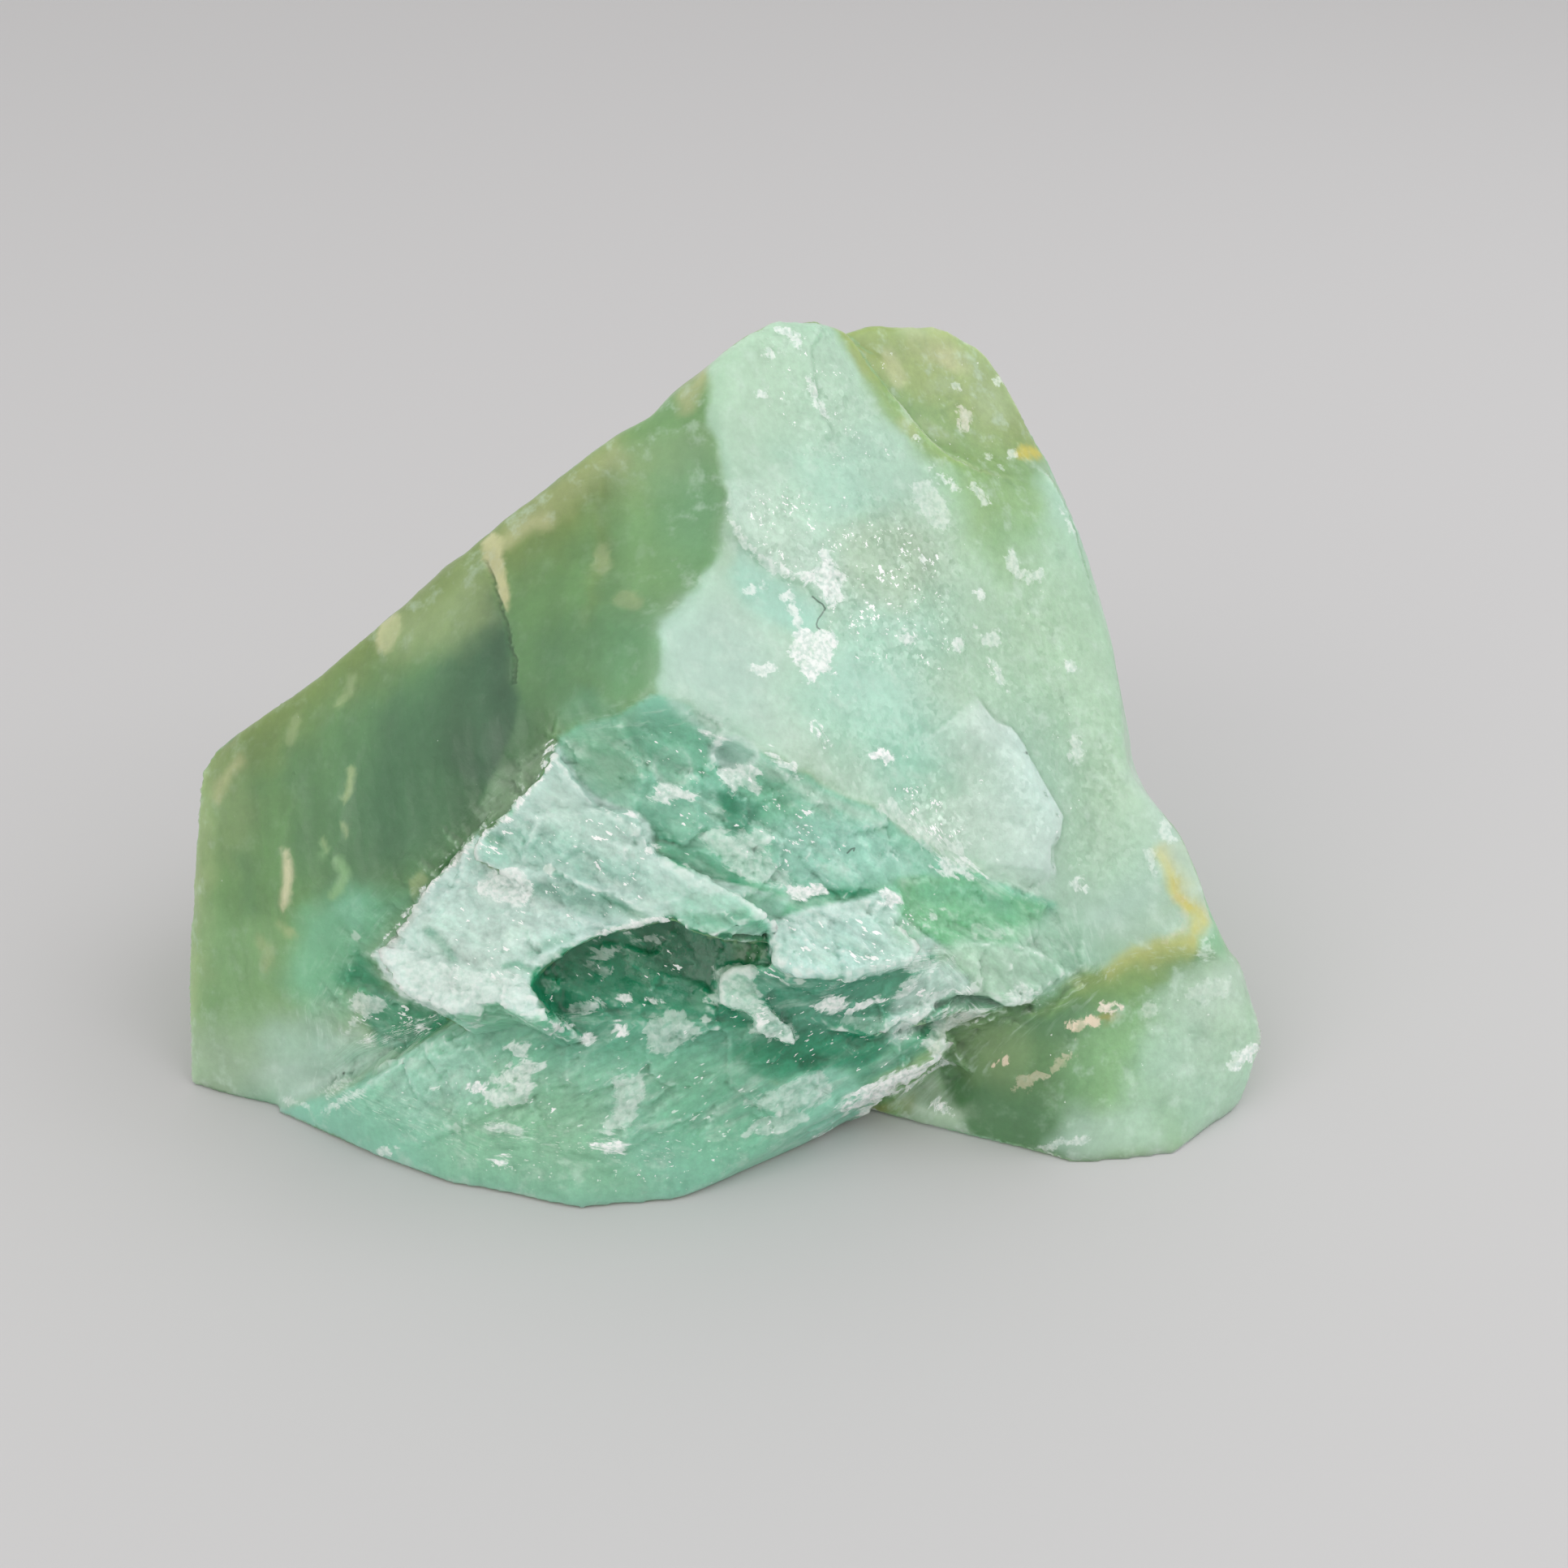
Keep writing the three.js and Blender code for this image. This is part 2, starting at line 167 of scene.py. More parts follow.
def valueNoise(points, size, seed):
    # smooth random values from -1 to 1 that change over the given size
    lattice = np.random.default_rng(seed).uniform(-1, 1, (32, 32, 32))
    at = points / size
    low = np.floor(at).astype(int)
    part = at - low
    part = part * part * (3 - 2 * part)
    total = np.zeros(len(points))
    for corner in range(8):
        bits = np.array([corner & 1, corner >> 1 & 1, corner >> 2 & 1])
        share = np.prod(np.where(bits, part, 1 - part), axis=1)
        cell = (low + bits) % 32
        total += share * lattice[cell[:, 0], cell[:, 1], cell[:, 2]]
    return total


def smoothStep(values, low, high):
    t = np.clip((values - low) / (high - low), 0, 1)
    return t * t * (3 - 2 * t)


# ---- seeing the stone from the front
pitch = math.radians(view["pitch"])
eye = np.array(view["eye"])
forward = np.array([0, math.cos(pitch), -math.sin(pitch)])
upward = np.array([0, math.sin(pitch), math.cos(pitch)])
focal = view["lens"] / view["sensor"] * view["side"]


def viewPixels(points):
    away = points - eye
    depth = away @ forward
    across = view["side"] / 2 + focal * away[:, 0] / depth
    down = view["side"] / 2 - focal * (away @ upward) / depth
    return np.stack([across, down], axis=1)


def frontFacing(points, normals):
    toEye = eye - points
    toEye /= np.linalg.norm(toEye, axis=1)[:, None]
    return np.einsum("ij,ij->i", toEye, normals)


def notHidden(mesh, points, normals, lift=0.06, far=200):
    # 1 where nothing of the stone is in front of the point; lift and far in mm
    tree = BVHTree.FromPolygons([tuple(p) for p in points], [tuple(f.vertices) for f in mesh.polygons])
    starts = points + normals * lift
    rays = eye - starts
    facing = frontFacing(points, normals) > 0
    found = np.zeros(len(points))
    for i in np.nonzero(facing)[0]:
        hit = tree.ray_cast(Vector(starts[i]), Vector(rays[i]), far)
        found[i] = hit[0] is None
    return found


def lineDistance(pixels, corners, closed):
    corners = np.array(corners, float)
    ends = np.roll(corners, -1, axis=0)
    best = np.full(len(pixels), 1e9)
    for start, end in list(zip(corners, ends))[:len(corners) if closed else -1]:
        along = end - start
        t = np.clip(((pixels - start) @ along) / max(along @ along, 1e-9), 0, 1)
        gap = pixels - start - t[:, None] * along
        best = np.minimum(best, np.hypot(gap[:, 0], gap[:, 1]))
    return best


def insideOutline(pixels, corners):
    corners = np.array(corners, float)
    inside = np.zeros(len(pixels), bool)
    for (x0, y0), (x1, y1) in zip(corners, np.roll(corners, -1, axis=0)):
        if y0 == y1:
            continue
        crosses = (pixels[:, 1] < y0) != (pixels[:, 1] < y1)
        inside ^= crosses & (pixels[:, 0] < x0 + (pixels[:, 1] - y0) * (x1 - x0) / (y1 - y0))
    return inside


def reach(pixels, mark, margin):
    # pixels inside the mark's edge, negative outside, -1e9 where far away
    found = np.full(len(pixels), -1e9)
    if "spot" in mark:
        (across, down), (wide, high) = mark["spot"], mark["size"]
        turn = math.radians(mark.get("turn", 0))
        gap = pixels - (across, down)
        x = gap[:, 0] * math.cos(turn) + gap[:, 1] * math.sin(turn)
        y = gap[:, 1] * math.cos(turn) - gap[:, 0] * math.sin(turn)
        return (1 - np.hypot(x / wide, y / high)) * min(wide, high)
    corners = np.array(mark.get("outline") or mark["line"], float)
    margin = margin + mark.get("wide", 0)
    near = np.all((pixels > corners.min(0) - margin) & (pixels < corners.max(0) + margin), axis=1)
    if not near.any():
        return found
    close = pixels[near]
    if "line" in mark:
        found[near] = mark["wide"] / 2 - lineDistance(close, corners, False)
    else:
        distance = lineDistance(close, corners, True)
        found[near] = np.where(insideOutline(close, corners), distance, -distance)
    return found


def scarp(pixels, mark):
    # 1 at the crisp edge on the right hand of the line's travel, fading away from it, 0 on the other hand
    corners = np.array(mark["scarp"], float)
    fade, edge = mark["fade"], mark.get("edge", 3)
    found = np.zeros(len(pixels))
    near = np.all((pixels > corners.min(0) - fade) & (pixels < corners.max(0) + fade), axis=1)
    close = pixels[near]
    best = np.full(len(close), 1e9)
    side = np.zeros(len(close))
    place = np.zeros(len(close))
    lengths = np.hypot(*np.diff(corners, axis=0).T)
    done = np.concatenate([[0], np.cumsum(lengths)])
    for i, length in enumerate(lengths):
        along = (corners[i + 1] - corners[i]) / length
        t = np.clip((close - corners[i]) @ along, 0, length)
        gap = close - corners[i] - t[:, None] * along
        away = np.hypot(gap[:, 0], gap[:, 1])
        nearer = away < best
        best = np.where(nearer, away, best)
        side = np.where(nearer, along[0] * gap[:, 1] - along[1] * gap[:, 0], side)
        place = np.where(nearer, (done[i] + t) / done[-1], place)
    signed = best * np.sign(side)
    ends = smoothStep(place, 0, 0.12) * (1 - smoothStep(place, 0.88, 1))
    found[near] = smoothStep(signed, -edge, edge) * (1 - smoothStep(best, 0, fade)) * ends
    return found


# ---- colours
# names for the stone's colours as they look in soft daylight, with part of the light and shade painted into
# them
palette = {
    "mint": "#ABCCB6", "paleMint": "#BAD4C6", "iceMint": "#C6DCD2", "aqua": "#A0CFBF", "lagoon": "#8AC4AC",
    "sea": "#7ABD9D", "jade": "#6C9760", "moss": "#5C895D", "pine": "#477551", "spruce": "#365F45",
    "lagoonDeep": "#56A083", "teal": "#128A62", "deepTeal": "#04704C", "spring": "#7ABC90", "leaf": "#90BB88",
    "olive": "#7E9452", "sage": "#A0B584", "lime": "#97AC68", "limeDark": "#84A866", "straw": "#C3C497",
    "cream": "#D6D4B4", "peach": "#DDD0B8", "ochre": "#CCC257", "wheat": "#CBCB80", "amber": "#A49A50",
    "frost": "#CFDFD8", "ice": "#BAD7CF", "silverGreen": "#A6BFA6",
}


def stain(colour, amount, soft=99, **shape):
    # soft is the width of its edge in pixels
    return {"colour": colour, "amount": amount, "soft": soft, **shape}


tints = {
    # the left face
    "leftFace": stain("jade", 1, 10, outline=[(180, 900), (262, 860), (370, 760), (480, 690), (604, 600),
        (700, 530), (805, 470), (850, 420), (872, 430), (876, 500), (881, 545), (888, 600), (896, 640),
        (893, 670), (880, 700), (845, 745), (812, 765), (812, 830), (806, 852), (770, 880), (700, 905),
        (683, 915), (672, 945), (655, 972), (634, 1001), (595, 1025), (566, 1058), (530, 1088), (508, 1120),
        (486, 1151), (461, 1174), (471, 1199), (440, 1215), (400, 1240), (340, 1262), (320, 1300), (290, 1330),
        (280, 1380), (180, 1400)]),
    # the left face's dark core: its deeper green with painted shade, darkest where light has the longest way
    # through the stone
    "leftDark": stain("moss", 0.85, 120, outline=[(350, 960), (440, 850), (560, 780), (640, 800), (690, 880),
        (650, 960), (590, 1040), (500, 1110), (440, 1130), (370, 1090)]),
    "leftDarker": stain("pine", 0.8, 90, outline=[(480, 870), (540, 820), (600, 740), (640, 860), (650, 930),
        (600, 1020), (540, 1060), (440, 1080), (430, 980)]),
    "crackShade": stain("spruce", 0.75, fade=120, edge=5, scarp=[(590, 690), (606, 720), (616, 745), (624, 775),
        (630, 800), (636, 830), (638, 860), (632, 900), (612, 950), (590, 990)]),
    "leftMiddle": stain("jade", 0.6, 50, outline=[(640, 700), (720, 640), (730, 760), (700, 860), (660, 880),
        (642, 830), (630, 760)]),
    "leftMiddleDark": stain("moss", 0.85, 60, outline=[(660, 790), (700, 760), (722, 790), (712, 870),
        (690, 895), (660, 870)]),
    # a yellowish band along the top edge: painted glow of light coming through the thin edge
    "topGlowOlive": stain("olive", 0.95, 90, wide=90, line=[(250, 925), (300, 890), (375, 830), (480, 760),
        (600, 670), (700, 610), (760, 575)]),
    "topSage": stain("sage", 0.6, 60, outline=[(500, 760), (560, 705), (600, 680), (598, 760), (560, 790),
        (520, 800)]),
    "leftLight": stain("leaf", 0.35, 90, outline=[(760, 540), (850, 460), (880, 560), (885, 660), (830, 740),
        (760, 740), (740, 640)]),
    "leftBlue": stain("sea", 0.25, 60, spot=(858, 640), size=(40, 70)),
    # painted glow of light coming through the thin edge at the summit
    "summitGlowStraw": stain("straw", 0.7, 30, wide=16, line=[(845, 490), (875, 450), (900, 425)]),
    "brownBand": stain("olive", 0.5, 26, wide=12, line=[(748, 575), (742, 640), (736, 700), (726, 760)]),
    "leftTeal": stain("sea", 0.25, 80, outline=[(740, 770), (790, 750), (805, 790), (800, 850), (750, 890),
        (735, 840)]),
    # a pale band along the left edge: painted glow of light coming through the thin edge
    "leftEnd": stain("sage", 0.8, 50, wide=40, line=[(240, 950), (236, 1040), (232, 1150), (228, 1260),
        (230, 1350)]),
    "leftLow": stain("leaf", 0.5, 80, outline=[(240, 1130), (340, 1140), (400, 1200), (380, 1260), (330, 1300),
        (280, 1350), (230, 1340)]),
    "lowBlue": stain("sea", 0.75, 50, outline=[(375, 1130), (430, 1090), (500, 1110), (480, 1150), (460, 1180),
        (430, 1240), (380, 1250), (350, 1210)]),
    "lowDark": stain("teal", 0.8, 26, outline=[(415, 1200), (440, 1170), (462, 1190), (480, 1215), (450, 1225),
        (425, 1215)]),
    "paleWedge": stain("paleMint", 0.8, 90, outline=[(330, 1262), (400, 1250), (470, 1262), (520, 1290),
        (440, 1345), (380, 1375), (300, 1350), (292, 1325)]),
    "paleWedgeIce": stain("aqua", 0.4, 50, outline=[(335, 1265), (400, 1255), (430, 1285), (390, 1310),
        (340, 1300)]),
    "creamOval": stain("straw", 1, 6, spot=(479, 778), size=(14, 27), turn=20),
    "creamOvalRim": stain("sage", 0.5, 26, spot=(495, 775), size=(24, 34), turn=25),
    "creamStreak": stain("cream", 0.8, 10, outline=[(347, 1050), (356, 1052), (364, 1075), (360, 1100),
        (352, 1120), (347, 1112), (349, 1085)]),
    "creamEnd": stain("straw", 0.6, 16, wide=14, line=[(296, 940), (275, 962), (262, 990)]),
    "crackCream": stain("straw", 0.95, 6, outline=[(590, 668), (604, 652), (618, 660), (622, 690), (629, 730),
        (626, 752), (618, 740), (610, 712), (601, 700), (596, 690)]),
    "edgeCream": stain("straw", 0.6, 24, wide=22, line=[(608, 668), (640, 650), (670, 640)]),
    "leftFleckA": stain("sage", 0.8, 6, spot=(772, 740), size=(18, 12)),
    "leftFleckB": stain("sage", 0.8, 6, spot=(741, 690), size=(9, 16)),
    "leftFleckC": stain("sage", 0.7, 6, wide=9, line=[(433, 835), (430, 850), (418, 868)]),
    "leftFleckD": stain("sage", 0.8, 6, wide=8, line=[(434, 948), (432, 965), (426, 982)]),
    "leftFleckE": stain("sage", 0.6, 8, wide=12, line=[(366, 885), (362, 900), (358, 912)]),
    "leftFleckF": stain("sage", 0.7, 5, wide=6, line=[(398, 1035), (404, 1048)]),
    "leftFleckG": stain("leaf", 0.8, 8, wide=12, line=[(420, 1060), (427, 1075), (420, 1095), (412, 1103)]),
    "leftFleckH": stain("sage", 0.8, 5, spot=(356, 1150), size=(7, 6)),
    "leftFleckI": stain("sage", 0.6, 9, wide=12, line=[(322, 1160), (332, 1172), (327, 1192)]),
    "leftFleckJ": stain("lagoon", 0.3, 8, outline=[(410, 1115), (440, 1105), (450, 1130), (446, 1150),
        (430, 1140), (420, 1125)]),
    "ledgeCorner": stain("sage", 0.8, 8, outline=[(505, 1085), (522, 1072), (530, 1082), (515, 1100),
        (508, 1108)]),
    # the glassy sliver above the ledge
    "sliver": stain("silverGreen", 0.35, 14, outline=[(655, 925), (668, 915), (677, 930), (668, 950),
        (652, 975),
        (634, 998), (600, 1015), (585, 1012), (600, 985), (615, 955), (635, 938)]),
    # the pale right face
    "rightFace": stain("mint", 1, 16, outline=[(872, 440), (876, 500), (881, 545), (888, 600), (896, 640),
        (893, 670), (880, 700), (845, 745), (812, 765), (812, 830), (806, 852), (847, 870), (880, 910),
        (930, 923), (993, 957), (1080, 1000), (1130, 1033), (1163, 1057), (1205, 1078), (1243, 1100),
        (1300, 1112), (1330, 1200), (1400, 1175), (1470, 1165), (1500, 1150), (1500, 1050), (1430, 930),
        (1400, 840), (1340, 600), (1290, 540), (1200, 589), (1160, 570), (1120, 535), (1092, 494), (1062, 458),
        (1035, 405), (1020, 370), (940, 370), (890, 400)]),
    "rightLow": stain("paleMint", 0.7, 70, outline=[(812, 765), (890, 720), (950, 760), (960, 850), (1050, 950),
        (1150, 1000), (1190, 1060), (1080, 990), (930, 915), (812, 850)]),
    "rightAqua": stain("aqua", 0.7, 90, outline=[(985, 850), (1040, 800), (1130, 820), (1180, 900), (1170, 960),
        (1110, 985), (1060, 940), (1000, 910)]),
    "rightAquaDeep": stain("lagoon", 0.4, 50, outline=[(1070, 890), (1130, 900), (1150, 950), (1110, 975),
        (1080, 950)]),
    "underScale": stain("aqua", 0.8, 30, outline=[(905, 670), (930, 688), (975, 714), (1005, 735), (1012, 765),
        (985, 775), (940, 760), (900, 720)]),
    "underScaleSoft": stain("silverGreen", 0.5, 40, outline=[(893, 620), (905, 665), (900, 720), (885, 700),
        (890, 650)]),
    "rightMiddle": stain("aqua", 0.55, 110, outline=[(960, 560), (1060, 560), (1130, 680), (1160, 800),
        (1060, 800), (1010, 700)]),
    "rightGreen": stain("leaf", 0.22, 140, outline=[(1180, 640), (1330, 660), (1370, 800), (1390, 950),
        (1400, 1100), (1330, 1100), (1290, 950), (1220, 860), (1190, 760)]),
    "rightGreenSpot": stain("leaf", 0.9, 80, outline=[(1150, 560), (1230, 590), (1300, 580), (1290, 660),
        (1240, 710), (1200, 680), (1180, 640)]),
    "underLobe": stain("limeDark", 0.7, 60, outline=[(1180, 580), (1240, 560), (1300, 560), (1290, 610),
        (1250, 640), (1210, 640)]),
    "shoulder": stain("mint", 0.7, 30, spot=(1305, 600), size=(26, 44)),
    "paleScale": stain("iceMint", 1, fade=110, edge=4, scarp=[(1196, 850), (1205, 858), (1213, 872),
        (1228, 890),
        (1245, 897), (1258, 915), (1268, 938), (1283, 963), (1298, 990), (1308, 1008), (1304, 1030),
        (1297, 1045), (1299, 1075), (1290, 1100)]),
    "upperScale": stain("iceMint", 0.5, fade=130, edge=4, scarp=[(1022, 762), (1017, 750), (1008, 735),
        (995, 718), (975, 712), (950, 700), (930, 683), (915, 668), (905, 650), (897, 622), (888, 585)]),
    "paleScaleSoft": stain("iceMint", 0.6, 60, outline=[(1150, 1000), (1200, 960), (1290, 1000), (1290, 1090),
        (1220, 1080), (1170, 1050)]),
    "farRight": stain("paleMint", 0.5, 70, outline=[(1330, 1110), (1400, 1080), (1440, 1060), (1480, 1130),
        (1460, 1160), (1380, 1170), (1330, 1150)]),
    # the yellow-green lobe
    "lobe": stain("lime", 1, 8, outline=[(1035, 405), (1045, 370), (1180, 370), (1260, 440), (1300, 540),
        (1290, 562), (1240, 570), (1200, 572), (1160, 568), (1120, 537), (1092, 494), (1062, 458)]),
    # a darker band along the lobe's lower edge: its greener colour with painted shade in the valley below the
    # face
    "lobeDark": stain("limeDark", 0.95, 50, outline=[(1072, 470), (1100, 478), (1160, 500), (1215, 535),
        (1290, 565), (1240, 590), (1180, 580), (1130, 550), (1095, 505)]),
    "lobeRim": stain("limeDark", 0.6, 14, wide=8, line=[(1066, 466), (1095, 502), (1124, 542), (1160, 568)]),
    "lobePatchA": stain("sage", 0.7, 12, spot=(1125, 408), size=(22, 12), turn=10),
    "lobePatchB": stain("straw", 0.6, 14, spot=(1175, 440), size=(20, 16), turn=30),
    "lobePatchC": stain("sage", 0.7, 12, spot=(1165, 478), size=(20, 10), turn=20),
    "lobePatchD": stain("sage", 0.7, 16, spot=(1228, 500), size=(20, 26), turn=-10),
    "lobePatchE": stain("sage", 0.6, 10, spot=(1150, 530), size=(26, 8), turn=25),
    "lobeOlive": stain("straw", 0.35, 30, outline=[(1115, 405), (1180, 405), (1180, 450), (1150, 445),
        (1120, 430)]),
    "lobePale": stain("sage", 0.5, 40, outline=[(1180, 410), (1230, 430), (1255, 480), (1270, 540), (1210, 530),
        (1180, 470)]),
    "lobeCreamA": stain("cream", 0.35, 10, wide=20, line=[(1090, 435), (1098, 455), (1110, 472)]),
    "lobeCreamB": stain("straw", 0.3, 8, wide=14, line=[(1113, 520), (1126, 536)]),
    "ochreSpot": stain("ochre", 0.95, 8, outline=[(1248, 560), (1258, 552), (1275, 548), (1284, 553),
        (1282, 566), (1270, 568), (1256, 566)]),
    # between the pale face and the ledges
    "wholeFront": stain("sea", 1, 8, outline=[(690, 905), (812, 858), (880, 910), (1000, 960), (1163, 1057),
        (1200, 1075), (1300, 1110), (1330, 1200), (1250, 1245), (1160, 1260), (1100, 1320), (1000, 1340),
        (800, 1300), (560, 1270), (460, 1180), (600, 1030), (655, 970)]),
    "upperFront": stain("lagoon", 0.9, 8, outline=[(806, 852), (847, 870), (880, 910), (930, 923), (993, 957),
        (1080, 1000), (1130, 1033), (1163, 1057), (1150, 1078), (1100, 1090), (1060, 1096), (975, 1100),
        (930, 1085), (880, 1065), (800, 1010), (745, 998), (700, 990), (683, 915), (700, 905), (770, 880)]),
    "upperFrontLeft": stain("jade", 0.3, 40, outline=[(690, 905), (780, 870), (800, 910), (790, 960),
        (740, 975),
        (700, 960)]),
    "upperFrontPale": stain("aqua", 0.7, 40, outline=[(960, 1000), (1040, 1010), (1130, 1050), (1130, 1085),
        (1000, 1095), (950, 1050)]),
    "upperFrontBlue": stain("sea", 0.8, 24, outline=[(765, 900), (800, 885), (850, 880), (890, 915), (940, 945),
        (990, 1010), (940, 1010), (870, 960), (800, 955), (770, 930)]),
    "upperFrontStrip": stain("paleMint", 0.6, 14, wide=14, line=[(830, 868), (870, 900), (930, 940),
        (1000, 975),
        (1080, 1020)]),
    "glassDark": stain("lagoonDeep", 0.95, 12, outline=[(878, 980), (895, 973), (925, 985), (946, 992),
        (936, 1012), (918, 1024), (900, 1028), (888, 1012)]),
    "glassDarker": stain("teal", 0.7, 10, outline=[(882, 978), (905, 982), (912, 998), (900, 1008),
        (888, 1000)]),
    "pitLeftRim": stain("paleMint", 0.7, 6, spot=(828, 945), size=(25, 26)),
    "pitLeft": stain("sea", 0.7, 8, spot=(827, 941), size=(21, 22)),
    "pitRightRim": stain("frost", 0.7, 6, spot=(905, 930), size=(30, 22)),
    "pitRight": stain("lagoonDeep", 0.5, 7, spot=(906, 927), size=(24, 16)),
    "veinAbovePlate": stain("lagoonDeep", 0.7, 12, wide=26, line=[(786, 1003), (812, 1022), (835, 1048),
        (868, 1068), (910, 1086)]),
    "veinSpeck": stain("teal", 0.7, 6, wide=7, line=[(882, 1083), (908, 1088)]),
    # the ledges
    "ledge": stain("ice", 1, 5, outline=[(686, 918), (697, 935), (712, 962), (740, 985), (784, 1000),
        (800, 1015), (808, 1050), (835, 1070), (880, 1085), (950, 1100), (900, 1125), (830, 1128), (743, 1147),
        (690, 1175), (655, 1200), (652, 1214), (673, 1249), (650, 1257), (612, 1236), (545, 1251), (492, 1227),
        (471, 1199), (461, 1174), (486, 1151), (508, 1120), (530, 1088), (566, 1058), (595, 1025), (634, 1001),
        (655, 972), (672, 945)]),
    "ledgeWhite": stain("frost", 0.2, 50, outline=[(461, 1174), (486, 1151), (530, 1110), (560, 1095),
        (660, 1100), (690, 1130), (700, 1160), (655, 1200), (673, 1249), (612, 1236), (545, 1251),
        (492, 1227)]),
    "ledgeBlue": stain("aqua", 0.8, 30, outline=[(600, 1030), (640, 1015), (700, 1030), (760, 1060),
        (780, 1090),
        (720, 1085), (650, 1060), (590, 1070)]),
    "ledgeTop": stain("paleMint", 0.2, 30, outline=[(680, 935), (720, 990), (790, 1005), (800, 1060),
        (740, 1060), (660, 1020)]),
    "ledgeVeinA": stain("lagoonDeep", 0.5, 14, outline=[(655, 1085), (700, 1085), (750, 1100), (790, 1125),
        (765, 1130), (720, 1128), (690, 1115), (658, 1105)]),
    "ledgeVeinB": stain("teal", 0.5, 9, wide=9, line=[(745, 1105), (770, 1118), (792, 1130)]),
    "ledgeVeinC": stain("lagoonDeep", 0.7, 8, spot=(610, 1032), size=(14, 9), turn=30),
    "ledgeVeinD": stain("lagoonDeep", 0.6, 8, wide=12, line=[(530, 1145), (545, 1160), (560, 1178)]),
    "ledgeVeinE": stain("lagoonDeep", 0.7, 6, wide=8, line=[(622, 1190), (640, 1186), (656, 1193)]),
    "ledgeVeinF": stain("lagoonDeep", 0.7, 5, wide=5, line=[(683, 1075), (696, 1079)]),
    "ledgeVeinG": stain("lagoonDeep", 0.4, 10, wide=14, line=[(660, 1170), (700, 1155)]),
    "strip": stain("aqua", 0.75, 9, outline=[(828, 1118), (860, 1105), (930, 1100), (975, 1103), (960, 1125),
        (945, 1140), (948, 1158), (900, 1152), (850, 1145), (832, 1132)]),
    "stripDark": stain("lagoonDeep", 0.6, 9, wide=16, line=[(850, 1128), (880, 1138), (915, 1130),
        (940, 1140)]),
    "slit": stain("teal", 0.9, 6, wide=10, line=[(985, 1110), (1020, 1100), (1050, 1102), (1075, 1100)]),
    # the pocket under the ledges: its deep teal is partly painted shade in the hollow, darkest under the
    # overhang
    "pocket": stain("teal", 1, 5, outline=[(652, 1214), (656, 1196), (690, 1172), (743, 1149), (800, 1132),
        (826, 1127), (848, 1146), (900, 1155), (946, 1160), (950, 1180), (925, 1190), (885, 1192), (880, 1215),
        (870, 1232), (900, 1240), (930, 1262), (900, 1268), (870, 1270), (850, 1250), (800, 1248), (760, 1262),
        (720, 1250), (690, 1255), (673, 1249)]),
    "pocketDeep": stain("deepTeal", 0.9, 26, outline=[(780, 1142), (826, 1130), (850, 1150), (900, 1160),
        (895, 1185), (875, 1215), (850, 1235), (820, 1200), (790, 1180)]),
    "pocketSoft": stain("lagoonDeep", 0.3, 30, outline=[(670, 1205), (720, 1190), (770, 1210), (800, 1240),
        (740, 1250), (690, 1240)]),
    "pocketGrey": stain("moss", 0.7, 9, outline=[(902, 1160), (940, 1160), (944, 1176), (925, 1186),
        (905, 1180)]),
    # the white block and what is right of it
    "block": stain("ice", 0.85, 4, outline=[(946, 1137), (975, 1124), (1013, 1117), (1065, 1106), (1085, 1098),
        (1105, 1103), (1112, 1115), (1106, 1128), (1120, 1140), (1150, 1160), (1165, 1172), (1130, 1185),
        (1105, 1195), (1060, 1203), (1010, 1206), (980, 1202), (955, 1192), (948, 1175), (950, 1157)]),
    "greenBand": stain("spring", 0.9, 14, outline=[(1100, 1090), (1145, 1077), (1205, 1084), (1243, 1100),
        (1285, 1108), (1290, 1122), (1270, 1150), (1235, 1168), (1200, 1160), (1165, 1170), (1120, 1140),
        (1106, 1126)]),
    "bandEnd": stain("mint", 0.9, 36, outline=[(1250, 1150), (1300, 1115), (1340, 1120), (1350, 1200),
        (1290, 1215), (1240, 1190)]),
    "greenBandDark": stain("sea", 0.5, 26, wide=24, line=[(1140, 1095), (1200, 1100), (1235, 1112)]),
    "lowerBlock": stain("mint", 0.95, 20, outline=[(1150, 1175), (1200, 1160), (1260, 1165), (1330, 1200),
        (1271, 1238), (1253, 1243), (1215, 1230), (1180, 1225), (1155, 1205)]),
    "lowerBlockGreen": stain("spring", 0.2, 50, outline=[(1280, 1130), (1340, 1140), (1400, 1170), (1340, 1200),
        (1280, 1210)]),
    # the splintery foot of the front
    "underBlock": stain("lagoonDeep", 1, 8, outline=[(930, 1195), (985, 1203), (1060, 1204), (1110, 1194),
        (1150, 1180), (1160, 1200), (1130, 1230), (1100, 1290), (1060, 1320), (1010, 1320), (960, 1330),
        (900, 1320), (880, 1290), (940, 1270)]),
    "underBlockDark": stain("teal", 0.8, 22, outline=[(930, 1280), (990, 1270), (1060, 1260), (1100, 1280),
        (1070, 1310), (1010, 1325), (950, 1325), (890, 1300)]),
    "underBlockDarkest": stain("deepTeal", 0.8, 12, outline=[(975, 1300), (1005, 1293), (1030, 1305),
        (1005, 1322), (985, 1318)]),
    "feather": stain("ice", 0.85, 16, outline=[(1100, 1285), (1105, 1240), (1120, 1215), (1140, 1195),
        (1165, 1185), (1195, 1200), (1200, 1218), (1180, 1226), (1160, 1238), (1135, 1262), (1112, 1288)]),
    "featherLow": stain("lagoonDeep", 0.8, 12, wide=18, line=[(1030, 1350), (1080, 1320), (1130, 1290),
        (1160, 1255)]),
    # the toe
    "toe": stain("lagoon", 1, 10, outline=[(250, 1400), (330, 1372), (420, 1345), (500, 1300), (560, 1262),
        (640, 1262), (700, 1268), (790, 1262), (850, 1262), (900, 1275), (900, 1310), (960, 1335), (1030, 1318),
